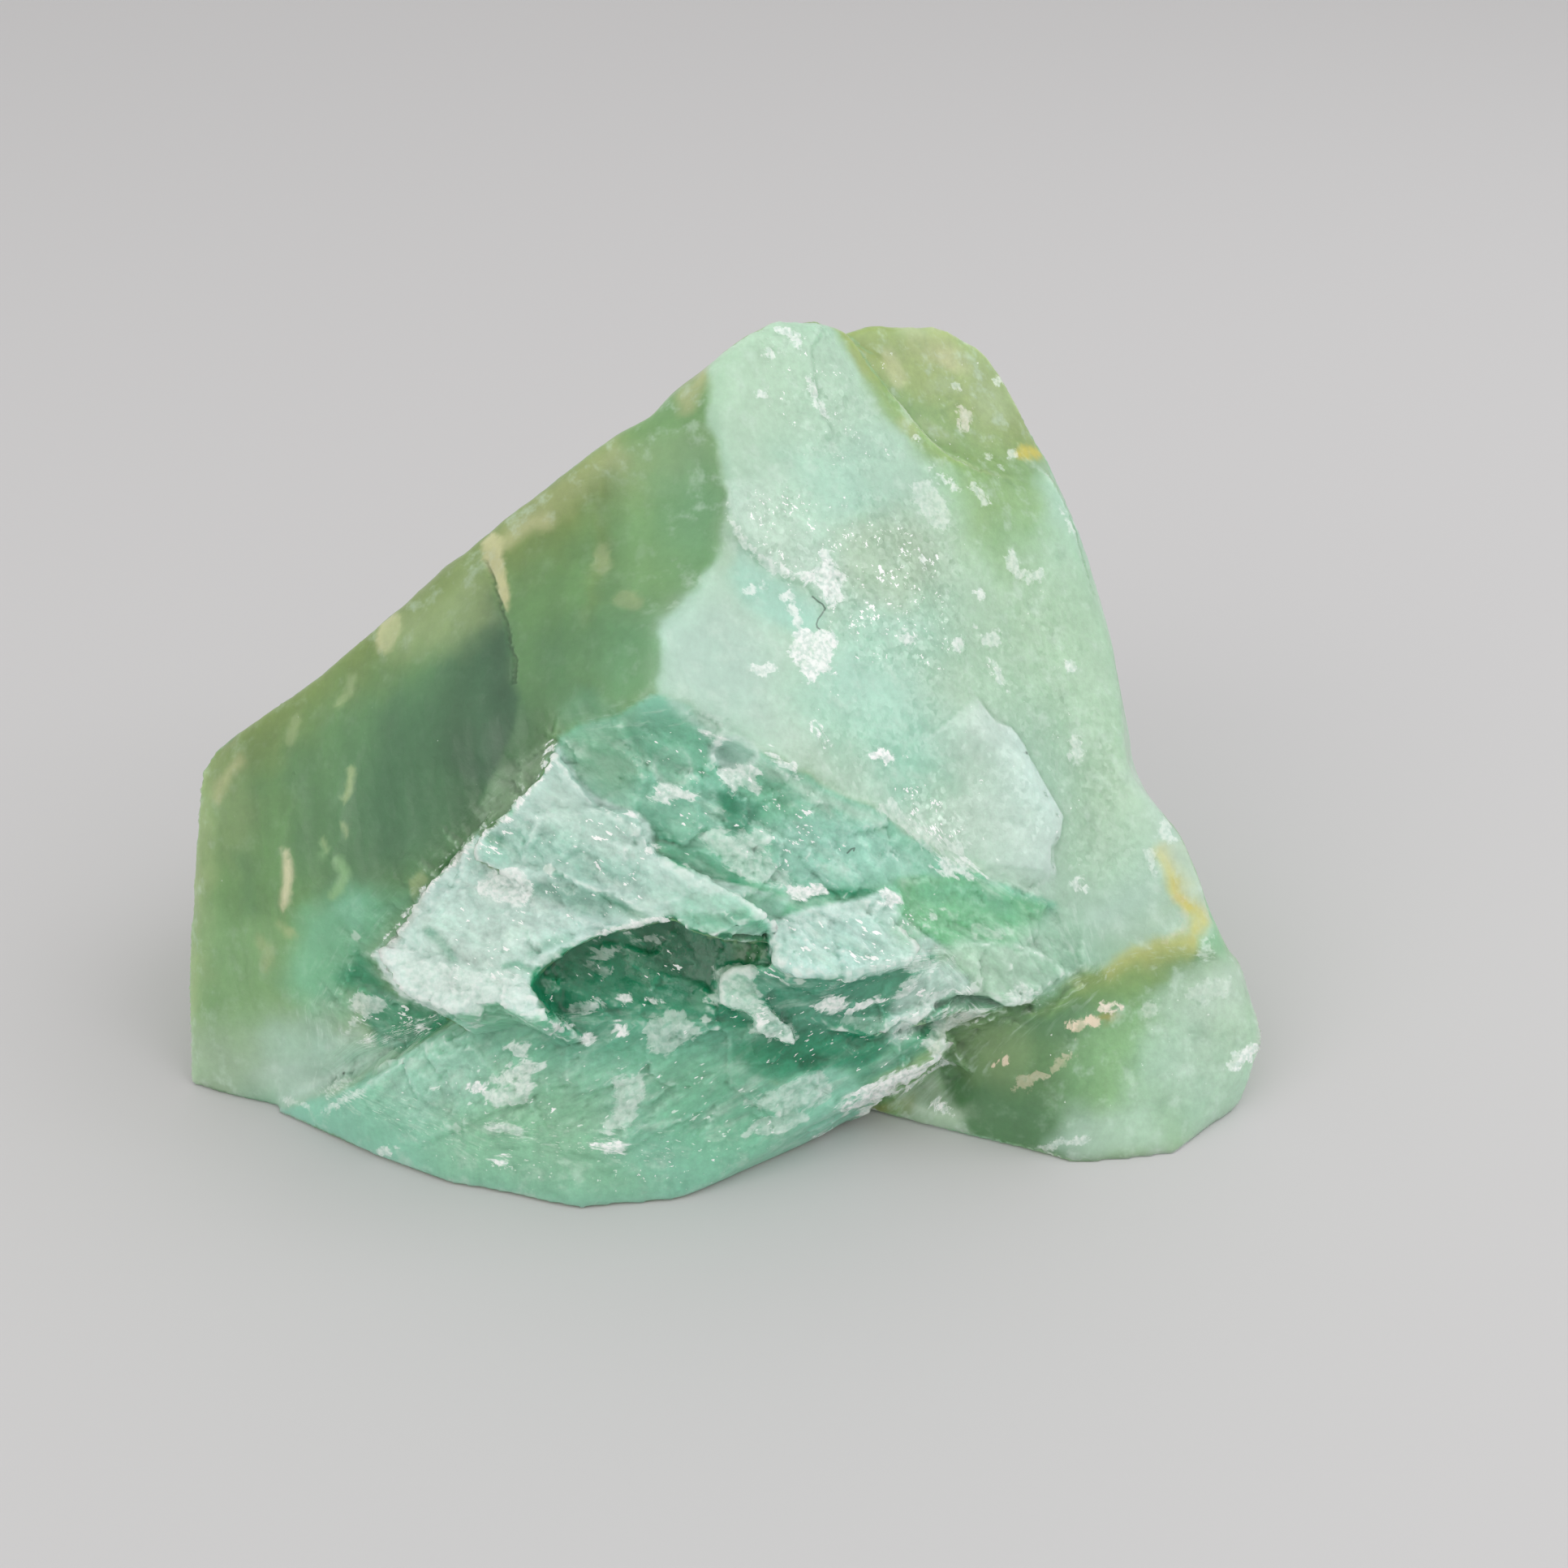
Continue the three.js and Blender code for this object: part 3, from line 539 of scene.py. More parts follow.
        (1080, 1345), (1060, 1375), (1010, 1410), (900, 1480), (700, 1530), (450, 1480)]),
    "toeGreen": stain("leaf", 0.3, 110, outline=[(540, 1360), (640, 1330), (740, 1350), (760, 1420),
        (800, 1480),
        (650, 1500), (540, 1450)]),
    "toeBlue": stain("sea", 0.7, 90, outline=[(780, 1290), (880, 1290), (960, 1340), (980, 1400), (880, 1440),
        (800, 1400)]),
    "toeBlueLeft": stain("aqua", 0.7, 60, outline=[(470, 1330), (540, 1280), (620, 1290), (600, 1350),
        (520, 1380)]),
    "toeDark": stain("lagoonDeep", 0.6, 40, outline=[(560, 1285), (620, 1262), (760, 1265), (790, 1300),
        (700, 1310), (620, 1305)]),
    "toeDarkRight": stain("lagoonDeep", 0.35, 60, outline=[(880, 1320), (960, 1335), (930, 1380), (860, 1380)]),
    "gully": stain("lagoonDeep", 0.9, 12, outline=[(455, 1215), (480, 1222), (530, 1240), (560, 1255),
        (540, 1268), (500, 1290), (470, 1285), (445, 1250)]),
    "gullyDark": stain("teal", 0.4, 10, wide=14, line=[(490, 1232), (520, 1240), (545, 1255), (520, 1275)]),
    "creaseLight": stain("aqua", 0.6, 8, wide=10, line=[(450, 1338), (500, 1302), (545, 1275), (580, 1258)]),
    # the foot on the right; its dark green is partly painted shade on its steep face
    "foot": stain("moss", 1, 10, outline=[(1165, 1250), (1210, 1243), (1253, 1247), (1300, 1228), (1400, 1175),
        (1470, 1168), (1500, 1170), (1580, 1250), (1590, 1330), (1500, 1460), (1320, 1460), (1180, 1420),
        (1160, 1330)]),
    "footMiddle": stain("leaf", 0.9, 90, outline=[(1330, 1270), (1420, 1200), (1500, 1180), (1580, 1260),
        (1590, 1340), (1500, 1450), (1360, 1450), (1320, 1380)]),
    "footPale": stain("paleMint", 0.75, 90, outline=[(1430, 1230), (1520, 1190), (1580, 1260), (1560, 1340),
        (1480, 1400), (1420, 1330)]),
    # a little painted shade on the foot's steep face
    "footDark": stain("pine", 0.05, 90, outline=[(1180, 1340), (1240, 1320), (1300, 1350), (1310, 1400),
        (1250, 1415), (1190, 1400)]),
    "footLime": stain("limeDark", 0.8, 26, outline=[(1270, 1247), (1330, 1215), (1400, 1185), (1440, 1200),
        (1400, 1230), (1330, 1240)]),
    "footLow": stain("paleMint", 0.7, 40, outline=[(1320, 1370), (1420, 1360), (1440, 1420), (1340, 1430),
        (1290, 1415)]),
    "stainRim": stain("lime", 0.15, 50, wide=40, line=[(1380, 1165), (1430, 1140), (1455, 1100)]),
    "stainPath": stain("wheat", 0.9, 18, wide=20, line=[(1438, 1050), (1445, 1075), (1462, 1105), (1478, 1135),
        (1472, 1158), (1440, 1170), (1400, 1178), (1370, 1195)]),
    "stainWash": stain("lime", 0.7, 30, wide=26, line=[(1330, 1215), (1400, 1190), (1460, 1172)]),
    "stainCore": stain("ochre", 0.7, 12, wide=12, line=[(1450, 1085), (1466, 1118)]),
    "lowOlive": stain("amber", 0.6, 8, wide=10, line=[(1068, 1370), (1092, 1368)]),
    # greyed green: painted shade in the recess under the lip
    "recess": stain("silverGreen", 0.9, 14, outline=[(1100, 1350), (1150, 1330), (1170, 1350), (1190, 1400),
        (1150, 1400), (1110, 1375)]),
    "footRise": stain("mint", 0.6, 60, outline=[(1400, 1280), (1500, 1240), (1570, 1250), (1560, 1340),
        (1480, 1420), (1330, 1430), (1380, 1360)]),
    "footBack": stain("olive", 0.2, 50, outline=[(1180, 1250), (1260, 1250), (1330, 1290), (1300, 1360),
        (1220, 1340), (1170, 1300)]),
    "recessOlive": stain("olive", 0.6, 12, outline=[(1062, 1372), (1100, 1355), (1125, 1345), (1120, 1375),
        (1080, 1382)]),
    "lowRise": stain("aqua", 0.5, 30, spot=(455, 1298), size=(44, 20), turn=-28),
    "lowStrandA": stain("paleMint", 0.6, 10, wide=9, line=[(345, 1355), (395, 1330), (440, 1308)]),
    "lowStrandB": stain("paleMint", 0.55, 12, wide=12, line=[(310, 1325), (360, 1312)]),
    "lowStrandC": stain("paleMint", 0.5, 12, wide=12, line=[(400, 1290), (440, 1268)]),
    "lowRound": stain("mint", 0.5, 14, spot=(350, 1285), size=(32, 26)),
    "cornerPaleGreen": stain("silverGreen", 0.75, 70, spot=(262, 1315), size=(55, 50)),
    # more painted glow along the left edge
    "leftEndGlowSoft": stain("sage", 0.35, 40, spot=(288, 1005), size=(26, 60)),
    # more painted glow along the top edge
    "topGlowStraw": stain("straw", 0.35, 40, wide=36, line=[(650, 635), (700, 600), (755, 560)]),
    "middleShade": stain("moss", 0.35, 50, spot=(750, 765), size=(34, 50)),
    "middleSea": stain("sea", 0.35, 30, spot=(722, 880), size=(30, 24)),
    "leftStrandA": stain("sage", 0.5, 8, wide=9, line=[(345, 1138), (352, 1148), (362, 1152)]),
    "leftStrandB": stain("leaf", 0.6, 6, wide=6, line=[(395, 1036), (402, 1048), (396, 1056)]),
    "leftStrandC": stain("sage", 0.6, 5, wide=6, line=[(425, 1016), (428, 1028)]),
    "leftShadeA": stain("pine", 0.35, 30, wide=30, line=[(375, 920), (380, 1010), (378, 1060)]),
    "leftShadeB": stain("moss", 0.5, 24, wide=20, line=[(305, 1060), (312, 1120)]),
    "edgeOlive": stain("straw", 0.75, 26, wide=24, line=[(1448, 1045), (1470, 1085), (1488, 1125)]),
    "footUpper": stain("paleMint", 0.7, 50, spot=(1505, 1215), size=(55, 30), turn=-15),
    "footLeft": stain("sage", 0.35, 50, spot=(1230, 1300), size=(40, 36)),
    "rightSilver": stain("silverGreen", 0.8, 60, spot=(1095, 690), size=(70, 60)),
    "ledgeShade": stain("aqua", 0.5, 24, wide=26, line=[(775, 1075), (815, 1100), (850, 1112)]),
    "ledgeShadeTop": stain("aqua", 0.3, 30, spot=(755, 1012), size=(40, 14)),
    "pocketLight": stain("lagoonDeep", 0.7, 14, spot=(826, 1222), size=(30, 14)),
    "bandStart": stain("spring", 0.5, 16, spot=(1120, 1145), size=(20, 18)),
    "edgePale": stain("paleMint", 0.7, 26, wide=22, line=[(1392, 950), (1412, 985), (1436, 1020), (1460, 1060),
        (1490, 1110)]),
    "toeTopDark": stain("lagoonDeep", 0.8, 40, outline=[(690, 1245), (760, 1250), (860, 1245), (920, 1270),
        (900, 1300), (820, 1296), (740, 1292), (680, 1280)]),
    "amberFleck": stain("amber", 0.7, 6, spot=(1366, 1252), size=(12, 5), turn=-15),
}

# rough white patches where the surface is bruised or crumbled, some of them thin lines along edges that also
# carry a painted highlight, and how far they stand out in mm

def bruise(rise, paleness=1, **shape):
    # rise in mm
    return {"rise": rise, "paleness": paleness, **shape}


patches = {
    "ledgeUpper": bruise(0.08, 0.75, outline=[(588, 1088), (600, 1078), (625, 1073), (650, 1070), (658, 1090),
        (655, 1105), (648, 1116), (625, 1114), (605, 1106), (592, 1098)]),
    "ledgeFoot": bruise(0.08, 0.35, outline=[(464, 1175), (480, 1160), (505, 1168), (535, 1185), (570, 1190),
        (610, 1196), (640, 1198), (652, 1210), (665, 1235), (675, 1249), (655, 1257), (636, 1243), (612, 1234),
        (580, 1241), (548, 1251), (520, 1238), (492, 1227), (474, 1203)]),
    # thin white lines along the ledge and plate edges: crumbled edges with a painted highlight where they catch
    # the light
    "ledgeRimHighlight": bruise(0.05, wide=5, line=[(461, 1174), (486, 1151), (508, 1120), (530, 1088), (566, 1058),
        (595, 1025), (634, 1001), (655, 972), (672, 945), (683, 915)]),
    "plateRimHighlight": bruise(0.05, wide=7, line=[(735, 1150), (775, 1142), (800, 1136), (828, 1130)]),
    "plateTopHighlight": bruise(0.05, wide=5, line=[(745, 997), (775, 1003), (784, 1008)]),
    "plateEnd": bruise(0.05, spot=(803, 1045), size=(10, 7)),
    "cheekA": bruise(0.06, 0.75, outline=[(797, 980), (810, 968), (833, 965), (850, 972), (862, 978),
        (850, 985),
        (830, 986), (812, 990)]),
    "cheekB": bruise(0.06, 0.7, outline=[(883, 950), (900, 946), (925, 945), (936, 953), (930, 962), (943, 975),
        (935, 982), (915, 973), (902, 982), (893, 970)]),
    "plateFlake": bruise(0.12, 0.38, outline=[(858, 1028), (875, 1024), (905, 1028), (930, 1021), (950, 1019),
        (955, 1030), (943, 1045), (952, 1062), (965, 1075), (975, 1092), (940, 1090), (915, 1080), (895, 1065),
        (875, 1050)]),
    "bridge": bruise(0.06, outline=[(968, 1093), (985, 1089), (1010, 1090), (1015, 1098), (1000, 1104),
        (990, 1112), (978, 1108)]),
    "bridgeRight": bruise(0.05, outline=[(1075, 1098), (1088, 1094), (1105, 1103), (1110, 1112), (1098, 1118),
        (1080, 1112)]),
    "blockLeft": bruise(0.05, 0.12, outline=[(947, 1139), (968, 1130), (985, 1145), (1003, 1160), (1015, 1185),
        (1018, 1203), (985, 1201), (957, 1191), (949, 1172)]),
    "blockTop": bruise(0.04, 0.25, outline=[(970, 1127), (1013, 1119), (1065, 1108), (1085, 1115), (1060, 1135),
        (1010, 1140), (985, 1140)]),
    "crust": bruise(0.15, 0.5, outline=[(880, 1194), (905, 1188), (928, 1192), (934, 1200), (925, 1211),
        (938, 1228), (946, 1240), (955, 1250), (976, 1268), (983, 1280), (968, 1285), (945, 1277), (927, 1272),
        (930, 1255), (915, 1246), (900, 1236), (885, 1236), (870, 1230), (878, 1215)]),
    "pocketChipA": bruise(0.08, 0.5, outline=[(732, 1195), (745, 1190), (757, 1190), (755, 1200), (745, 1210),
        (735, 1212), (738, 1203)]),
    "pocketChipB": bruise(0.05, 0.5, wide=4, line=[(733, 1168), (748, 1172), (766, 1168)]),
    "pocketChipC": bruise(0.05, 0.5, wide=4, line=[(722, 1190), (735, 1182), (752, 1178)]),
    "pocketChipD": bruise(0.05, 0.5, wide=5, line=[(778, 1160), (790, 1158), (803, 1154), (812, 1158)]),
    "pocketChipE": bruise(0.05, spot=(804, 1233), size=(6, 4)),
    "pocketChipF": bruise(0.05, spot=(771, 1230), size=(5, 4)),
    "pocketSill": bruise(0.1, 0.6, outline=[(700, 1243), (715, 1234), (735, 1230), (743, 1236), (730, 1246),
        (710, 1250)]),
    "sillChipA": bruise(0.08, spot=(690, 1266), size=(12, 8), turn=-20),
    "sillChipB": bruise(0.08, spot=(724, 1280), size=(7, 6)),
    "sillChipC": bruise(0.08, spot=(766, 1270), size=(6, 6)),
    "shelf": bruise(0.12, 0.4, outline=[(793, 1270), (800, 1254), (820, 1250), (843, 1247), (850, 1260),
        (868, 1267), (855, 1275), (845, 1290), (820, 1302), (800, 1292)]),
    "toeA": bruise(0.12, 0.65, outline=[(620, 1290), (640, 1283), (655, 1286), (650, 1298), (662, 1304),
        (680, 1320), (660, 1322), (655, 1342), (650, 1358), (625, 1366), (605, 1356), (595, 1346), (615, 1340),
        (632, 1334), (612, 1329), (620, 1316), (640, 1302)]),
    "toeB": bruise(0.12, 0.45, outline=[(755, 1326), (775, 1323), (796, 1327), (793, 1345), (784, 1362),
        (792, 1375), (775, 1386), (752, 1396), (733, 1398), (741, 1385), (755, 1375), (750, 1360), (758, 1345),
        (752, 1335)]),
    "toeC": bruise(0.15, 0.4, outline=[(920, 1360), (940, 1349), (960, 1341), (985, 1327), (1010, 1317),
        (1022, 1330), (1025, 1345), (1005, 1360), (985, 1368), (996, 1378), (975, 1390), (945, 1398),
        (918, 1398), (940, 1385), (955, 1374), (935, 1368)]),
    "toeD": bruise(0.1, outline=[(728, 1412), (745, 1407), (765, 1404), (775, 1412), (768, 1420), (745, 1418)]),
    "toeE": bruise(0.08, 0.6, spot=(628, 1390), size=(22, 7), turn=15),
    "toeF": bruise(0.06, spot=(618, 1432), size=(9, 6)),
    "toeG": bruise(0.08, outline=[(1003, 1401), (1015, 1396), (1025, 1393), (1018, 1399)]),
    "toeH": bruise(0.06, spot=(590, 1340), size=(8, 5)),
    "toeI": bruise(0.1, 0.5, wide=9, line=[(398, 1366), (425, 1352), (445, 1345)]),
    "toeJ": bruise(0.08, 0.45, wide=7, line=[(402, 1346), (428, 1330)]),
    "toeK": bruise(0.08, 0.4, wide=9, line=[(352, 1356), (372, 1362)]),
    "toeL": bruise(0.05, 0.6, spot=(478, 1418), size=(10, 5)),
    "gullyChipA": bruise(0.12, 0.55, outline=[(425, 1243), (440, 1224), (458, 1228), (472, 1235), (464, 1250),
        (450, 1262), (438, 1258), (430, 1270), (424, 1275), (440, 1250)]),
    "gullyChipB": bruise(0.06, spot=(456, 1281), size=(7, 4)),
    "gullyChipC": bruise(0.06, spot=(518, 1265), size=(7, 6)),
    "featherA": bruise(0.15, 0.95, outline=[(1003, 1240), (1022, 1230), (1045, 1226), (1040, 1236),
        (1060, 1233),
        (1087, 1233), (1070, 1243), (1045, 1248), (1030, 1251), (1012, 1247)]),
    "featherB": bruise(0.12, 0.2, outline=[(1030, 1257), (1045, 1252), (1075, 1250), (1095, 1252), (1088, 1268),
        (1070, 1276), (1065, 1265)]),
    "featherC": bruise(0.12, 0.55, outline=[(1115, 1186), (1130, 1180), (1152, 1181), (1150, 1190),
        (1140, 1200),
        (1125, 1205), (1135, 1212), (1120, 1225), (1105, 1232), (1110, 1218), (1122, 1204), (1112, 1192)]),
    "featherD": bruise(0.12, 0.5, outline=[(1120, 1250), (1140, 1225), (1158, 1216), (1175, 1217), (1160, 1232),
        (1145, 1250), (1125, 1268), (1112, 1285), (1108, 1262)]),
    "featherE": bruise(0.1, outline=[(1176, 1222), (1188, 1218), (1200, 1222), (1190, 1228)]),
    "blade": bruise(0.15, 0.6, outline=[(1138, 1290), (1142, 1275), (1152, 1260), (1168, 1248), (1192, 1243),
        (1226, 1244), (1200, 1256), (1180, 1264), (1168, 1274), (1163, 1290), (1150, 1300)]),
    "lip": bruise(0.15, 0.95, outline=[(1030, 1363), (1045, 1355), (1080, 1336), (1110, 1322), (1140, 1312),
        (1160, 1302), (1168, 1307), (1150, 1320), (1120, 1340), (1090, 1355), (1060, 1367), (1040, 1368)]),
    "recessChip": bruise(0.08, outline=[(1148, 1362), (1158, 1355), (1170, 1360), (1174, 1374), (1162, 1370)]),
    "bruiseA": bruise(0.04, 0.8, outline=[(955, 702), (985, 703), (1000, 705), (1008, 692), (1012, 680),
        (1022, 684), (1026, 696), (1040, 704), (1035, 725), (1038, 742), (1024, 750), (1014, 735), (1000, 720),
        (975, 711)]),
    # a thin pale line along the scale's edge: crumbs with a painted highlight where the edge catches the light
    "scaleRimHighlight": bruise(0.03, 0.5, wide=6, line=[(898, 625), (905, 650), (917, 668), (935, 685), (955, 702),
        (978, 712)]),
    "bruiseB": bruise(0.04, 0.9, outline=[(970, 800), (985, 775), (1003, 776), (1025, 777), (1032, 795),
        (1024, 815), (1027, 830), (1005, 832), (998, 840), (985, 830), (978, 815)]),
    "bruiseTailB": bruise(0.03, 0.7, wide=9, line=[(985, 770), (978, 750), (968, 735)]),
    "bruiseC": bruise(0.04, 0.4, outline=[(1122, 600), (1132, 596), (1142, 591), (1150, 603), (1162, 615),
        (1173, 636), (1165, 650), (1150, 648), (1140, 635), (1130, 622)]),
    "bruiseD": bruise(0.04, 0.5, outline=[(1237, 690), (1248, 680), (1256, 690), (1252, 704), (1264, 702),
        (1276, 708), (1289, 701), (1289, 713), (1268, 716), (1252, 712), (1243, 704)]),
    "bruiseE": bruise(0.04, 0.45, outline=[(1202, 772), (1212, 780), (1222, 773), (1233, 774), (1231, 790),
        (1222, 801), (1210, 796), (1205, 785)]),
    "bruiseF": bruise(0.04, 0.45, outline=[(1317, 912), (1328, 908), (1336, 925), (1335, 940), (1324, 943),
        (1318, 930)]),
    "bruiseG": bruise(0.03, outline=[(1073, 927), (1085, 922), (1100, 933), (1090, 942), (1078, 936)]),
    "bruiseH": bruise(0.03, wide=7, line=[(1006, 896), (1012, 905), (1018, 918)]),
    "bruiseI": bruise(0.03, 0.6, spot=(1315, 821), size=(8, 7)),
    "bruiseJ": bruise(0.03, 0.7, spot=(1118, 788), size=(10, 9)),
    "bruiseK": bruise(0.03, 0.6, spot=(1182, 792), size=(6, 10)),
    "bruiseL": bruise(0.03, 0.5, outline=[(1218, 812), (1228, 816), (1240, 838), (1238, 850), (1226, 838)]),
    "bruiseM": bruise(0.03, 0.55, spot=(1330, 1090), size=(8, 7)),
    "bruiseN": bruise(0.03, 0.7, spot=(1208, 732), size=(5, 5)),
    "bruiseO": bruise(0.03, 0.7, spot=(942, 824), size=(10, 8)),
    "bruiseP": bruise(0.03, 0.6, spot=(925, 727), size=(8, 6)),
    "bruiseQ": bruise(0.03, 0.6, spot=(943, 725), size=(7, 6)),
    "bruiseR": bruise(0.03, 0.8, spot=(1136, 690), size=(7, 5)),
    "streakTop": bruise(0.03, 0.6, wide=10, line=[(996, 470), (1004, 488), (1016, 508)]),
    "summitA": bruise(0.03, 0.7, wide=6, line=[(957, 405), (970, 408), (985, 425)]),
    "summitB": bruise(0.03, 0.6, spot=(948, 432), size=(8, 6)),
    "summitC": bruise(0.03, 0.7, spot=(938, 485), size=(6, 5)),
    "edgeWhite": bruise(0.04, 0.5, outline=[(1306, 620), (1318, 635), (1330, 648), (1336, 664), (1322, 656),
        (1312, 640)]),
    "ridgeWhite": bruise(0.05, 0.4, outline=[(1085, 995), (1100, 985), (1110, 998), (1130, 1008), (1145, 1025),
        (1165, 1038), (1190, 1040), (1200, 1048), (1160, 1052), (1135, 1040), (1115, 1025), (1095, 1010)]),
    "overhang": bruise(0.08, 0.7, outline=[(1147, 1068), (1165, 1057), (1190, 1058), (1207, 1070), (1215, 1080),
        (1190, 1082), (1165, 1077)]),
    "ridgeCrumbA": bruise(0.05, 0.6, wide=8, line=[(868, 905), (885, 912), (900, 910)]),
    "ridgeCrumbB": bruise(0.05, 0.7, wide=8, line=[(948, 925), (965, 940), (985, 955)]),
    "bandChip": bruise(0.05, 0.6, spot=(1150, 1128), size=(9, 7)),
    "bandPale": bruise(0.05, 0.3, outline=[(1197, 1143), (1215, 1140), (1225, 1145), (1242, 1148), (1225, 1160),
        (1210, 1155)]),
    "lowerPale": bruise(0.04, 0.5, spot=(1260, 1228), size=(18, 12)),
    "lobeWhite": bruise(0.08, 0.6, warm=0.5, outline=[(1174, 502), (1186, 500), (1200, 507), (1197, 520),
        (1191, 531), (1182, 521)]),
    "lobeChipA": bruise(0.05, 0.45, spot=(1246, 560), size=(5, 5)),
    "lobeChipB": bruise(0.05, 0.45, wide=4, line=[(1218, 563), (1226, 573), (1235, 578)]),
    "lobeChipC": bruise(0.05, 0.45, spot=(1126, 537), size=(4, 4)),
    "lobeChipD": bruise(0.05, 0.6, spot=(1230, 468), size=(6, 6)),
    "lobeChipE": bruise(0.05, 0.5, spot=(1178, 474), size=(7, 6)),
    "arcStreak": bruise(0.04, 0.6, wide=6, line=[(1150, 580), (1165, 592), (1175, 600)]),
    "arcStreakB": bruise(0.04, 0.5, wide=10, line=[(1200, 600), (1212, 618)]),
    "footCreamA": bruise(0.06, warm=1, outline=[(1313, 1260), (1330, 1255), (1350, 1250), (1352, 1261),
        (1338, 1268), (1322, 1277), (1315, 1269)]),
    "footCreamB": bruise(0.06, wide=8, warm=0.7, line=[(1358, 1243), (1378, 1237)]),
    "footCreamC": bruise(0.08, warm=1, outline=[(1226, 1311), (1238, 1300), (1248, 1302), (1241, 1309),
        (1231, 1314)]),
    "footCreamD": bruise(0.04, 0.45, warm=1, outline=[(1258, 1325), (1275, 1318), (1295, 1325), (1310, 1315),
        (1325, 1297), (1310, 1300), (1298, 1315), (1280, 1330), (1262, 1345), (1250, 1342)]),
    "footWhite": bruise(0.05, 0.5, outline=[(1280, 1420), (1300, 1405), (1335, 1400), (1345, 1408),
        (1310, 1415),
        (1290, 1426)]),
    "footIce": bruise(0.06, 0.8, outline=[(1512, 1315), (1520, 1300), (1545, 1284), (1562, 1288), (1550, 1302),
        (1535, 1312), (1520, 1320)]),
    "footPaleA": bruise(0.04, 0.3, spot=(1420, 1243), size=(12, 10)),
    "footPaleB": bruise(0.04, 0.25, outline=[(1456, 1215), (1480, 1210), (1520, 1205), (1515, 1225),
        (1480, 1235), (1462, 1230)]),
    "cornerPale": bruise(0.04, 0.3, outline=[(1475, 1175), (1488, 1158), (1499, 1152), (1496, 1175),
        (1484, 1182)]),
    "edgePaleA": bruise(0.04, 0.35, outline=[(1410, 1048), (1420, 1045), (1428, 1065), (1422, 1075),
        (1414, 1062)]),
    "edgePaleB": bruise(0.04, 0.45, outline=[(1432, 1010), (1440, 1012), (1450, 1035), (1438, 1040),
        (1428, 1022)]),
    "yellowRim": bruise(0.03, 0.2, warm=1, wide=9, line=[(1450, 1105), (1458, 1118), (1465, 1140),
        (1440, 1158)]),
}

# where one part of the surface stands above the next, in mm, beside the steps of the solid itself
steps = {
    "upperPlate": {"rise": 0.15, "outline": [
        (660, 1003), (740, 996), (784, 1003), (800, 1018), (808, 1050), (835, 1068), (880, 1082), (840, 1110),
        (790, 1128), (740, 1100), (690, 1080), (640, 1060)]},
    "blockFace": {"rise": 0.15, "like": "block"},
    "lowerBlock": {"rise": 0.12, "like": "lowerBlock"},
}

# low scarps: crisp on one side, running out on the other
scarps = {
    "paleScale": {"rise": 0.22, "fade": 120, "like": "paleScale"},
    "upperScale": {"rise": 0.13, "fade": 140, "like": "upperScale"},
    "summit": {"rise": 0.15, "fade": 60, "scarp": [(1015, 395), (1000, 430), (1003, 470), (1010, 510),
        (1030, 540)]},
    "plateA": {"rise": 0.2, "fade": 50, "scarp": [
        (800, 1035), (840, 1045), (875, 1050), (905, 1070), (940, 1088), (985, 1090)]},
    "plateB": {"rise": 0.15, "fade": 40, "scarp": [(855, 985), (880, 1012), (920, 1030), (960, 1030),
        (1000, 1050)]},
    "plateC": {"rise": 0.15, "fade": 40, "scarp": [(600, 1075), (640, 1065), (690, 1075), (740, 1090),
        (800, 1118)]},
    "plateD": {"rise": 0.12, "fade": 40, "scarp": [(520, 1130), (560, 1150), (600, 1170), (650, 1180)]},
    "cheek": {"rise": 0.12, "fade": 40, "scarp": [(760, 880), (790, 930), (800, 960), (790, 985)]},
    "band": {"rise": 0.15, "fade": 50, "scarp": [(1110, 1130), (1150, 1140), (1200, 1160), (1260, 1165),
        (1300, 1190)]},
    "leftRibA": {"rise": 0.05, "fade": 60, "scarp": [(745, 570), (742, 640), (732, 720), (722, 800),
        (700, 880)]},
    "leftRibB": {"rise": 0.04, "fade": 50, "scarp": [(470, 800), (450, 900), (430, 1000), (400, 1120)]},
    "leftRibC": {"rise": 0.04, "fade": 50, "scarp": [(380, 860), (365, 960), (345, 1080), (330, 1200)]},
    "toeA": {"rise": 0.15, "fade": 50, "scarp": [(720, 1330), (640, 1355), (560, 1390), (500, 1420)]},
    "toeB": {"rise": 0.15, "fade": 50, "scarp": [(960, 1330), (880, 1360), (800, 1400), (740, 1430)]},
}

# healed cracks and gaps, with how deep they cut in mm, and specks of dust; the dark in the gaps under
# overhanging blocks is painted shadow
cracks = {
    "leftCrack": {"deep": 0.12, "wide": 4, "dark": 0.12, "line": [
        (600, 692), (610, 720), (616, 745), (624, 770), (628, 795), (636, 815), (634, 840)]},
    "footCrackShadow": {"deep": 0.2, "wide": 5, "dark": 0.35, "line": [
        (1130, 1268), (1150, 1248), (1170, 1240), (1195, 1240), (1222, 1240), (1245, 1247), (1271, 1242)]},
    "bladeGapShadow": {"deep": 0.3, "wide": 9, "dark": 0.55, "line": [(1156, 1240), (1185, 1232), (1210, 1234),
        (1232, 1242)]},
    "stripGapShadow": {"deep": 0.3, "wide": 4, "dark": 0.7, "line": [(905, 1158), (930, 1155), (945, 1158)]},
    "dustSpeckA": {"deep": 0, "wide": 3, "dark": 1, "line": [(425, 1323), (427, 1324)]},
    "dustSpeckB": {"deep": 0, "wide": 2.6, "dark": 1, "line": [(929, 1046), (930, 1047)]},
    "dustSpeckC": {"deep": 0, "wide": 2.4, "dark": 1, "line": [(1259, 929), (1261, 930)]},
}

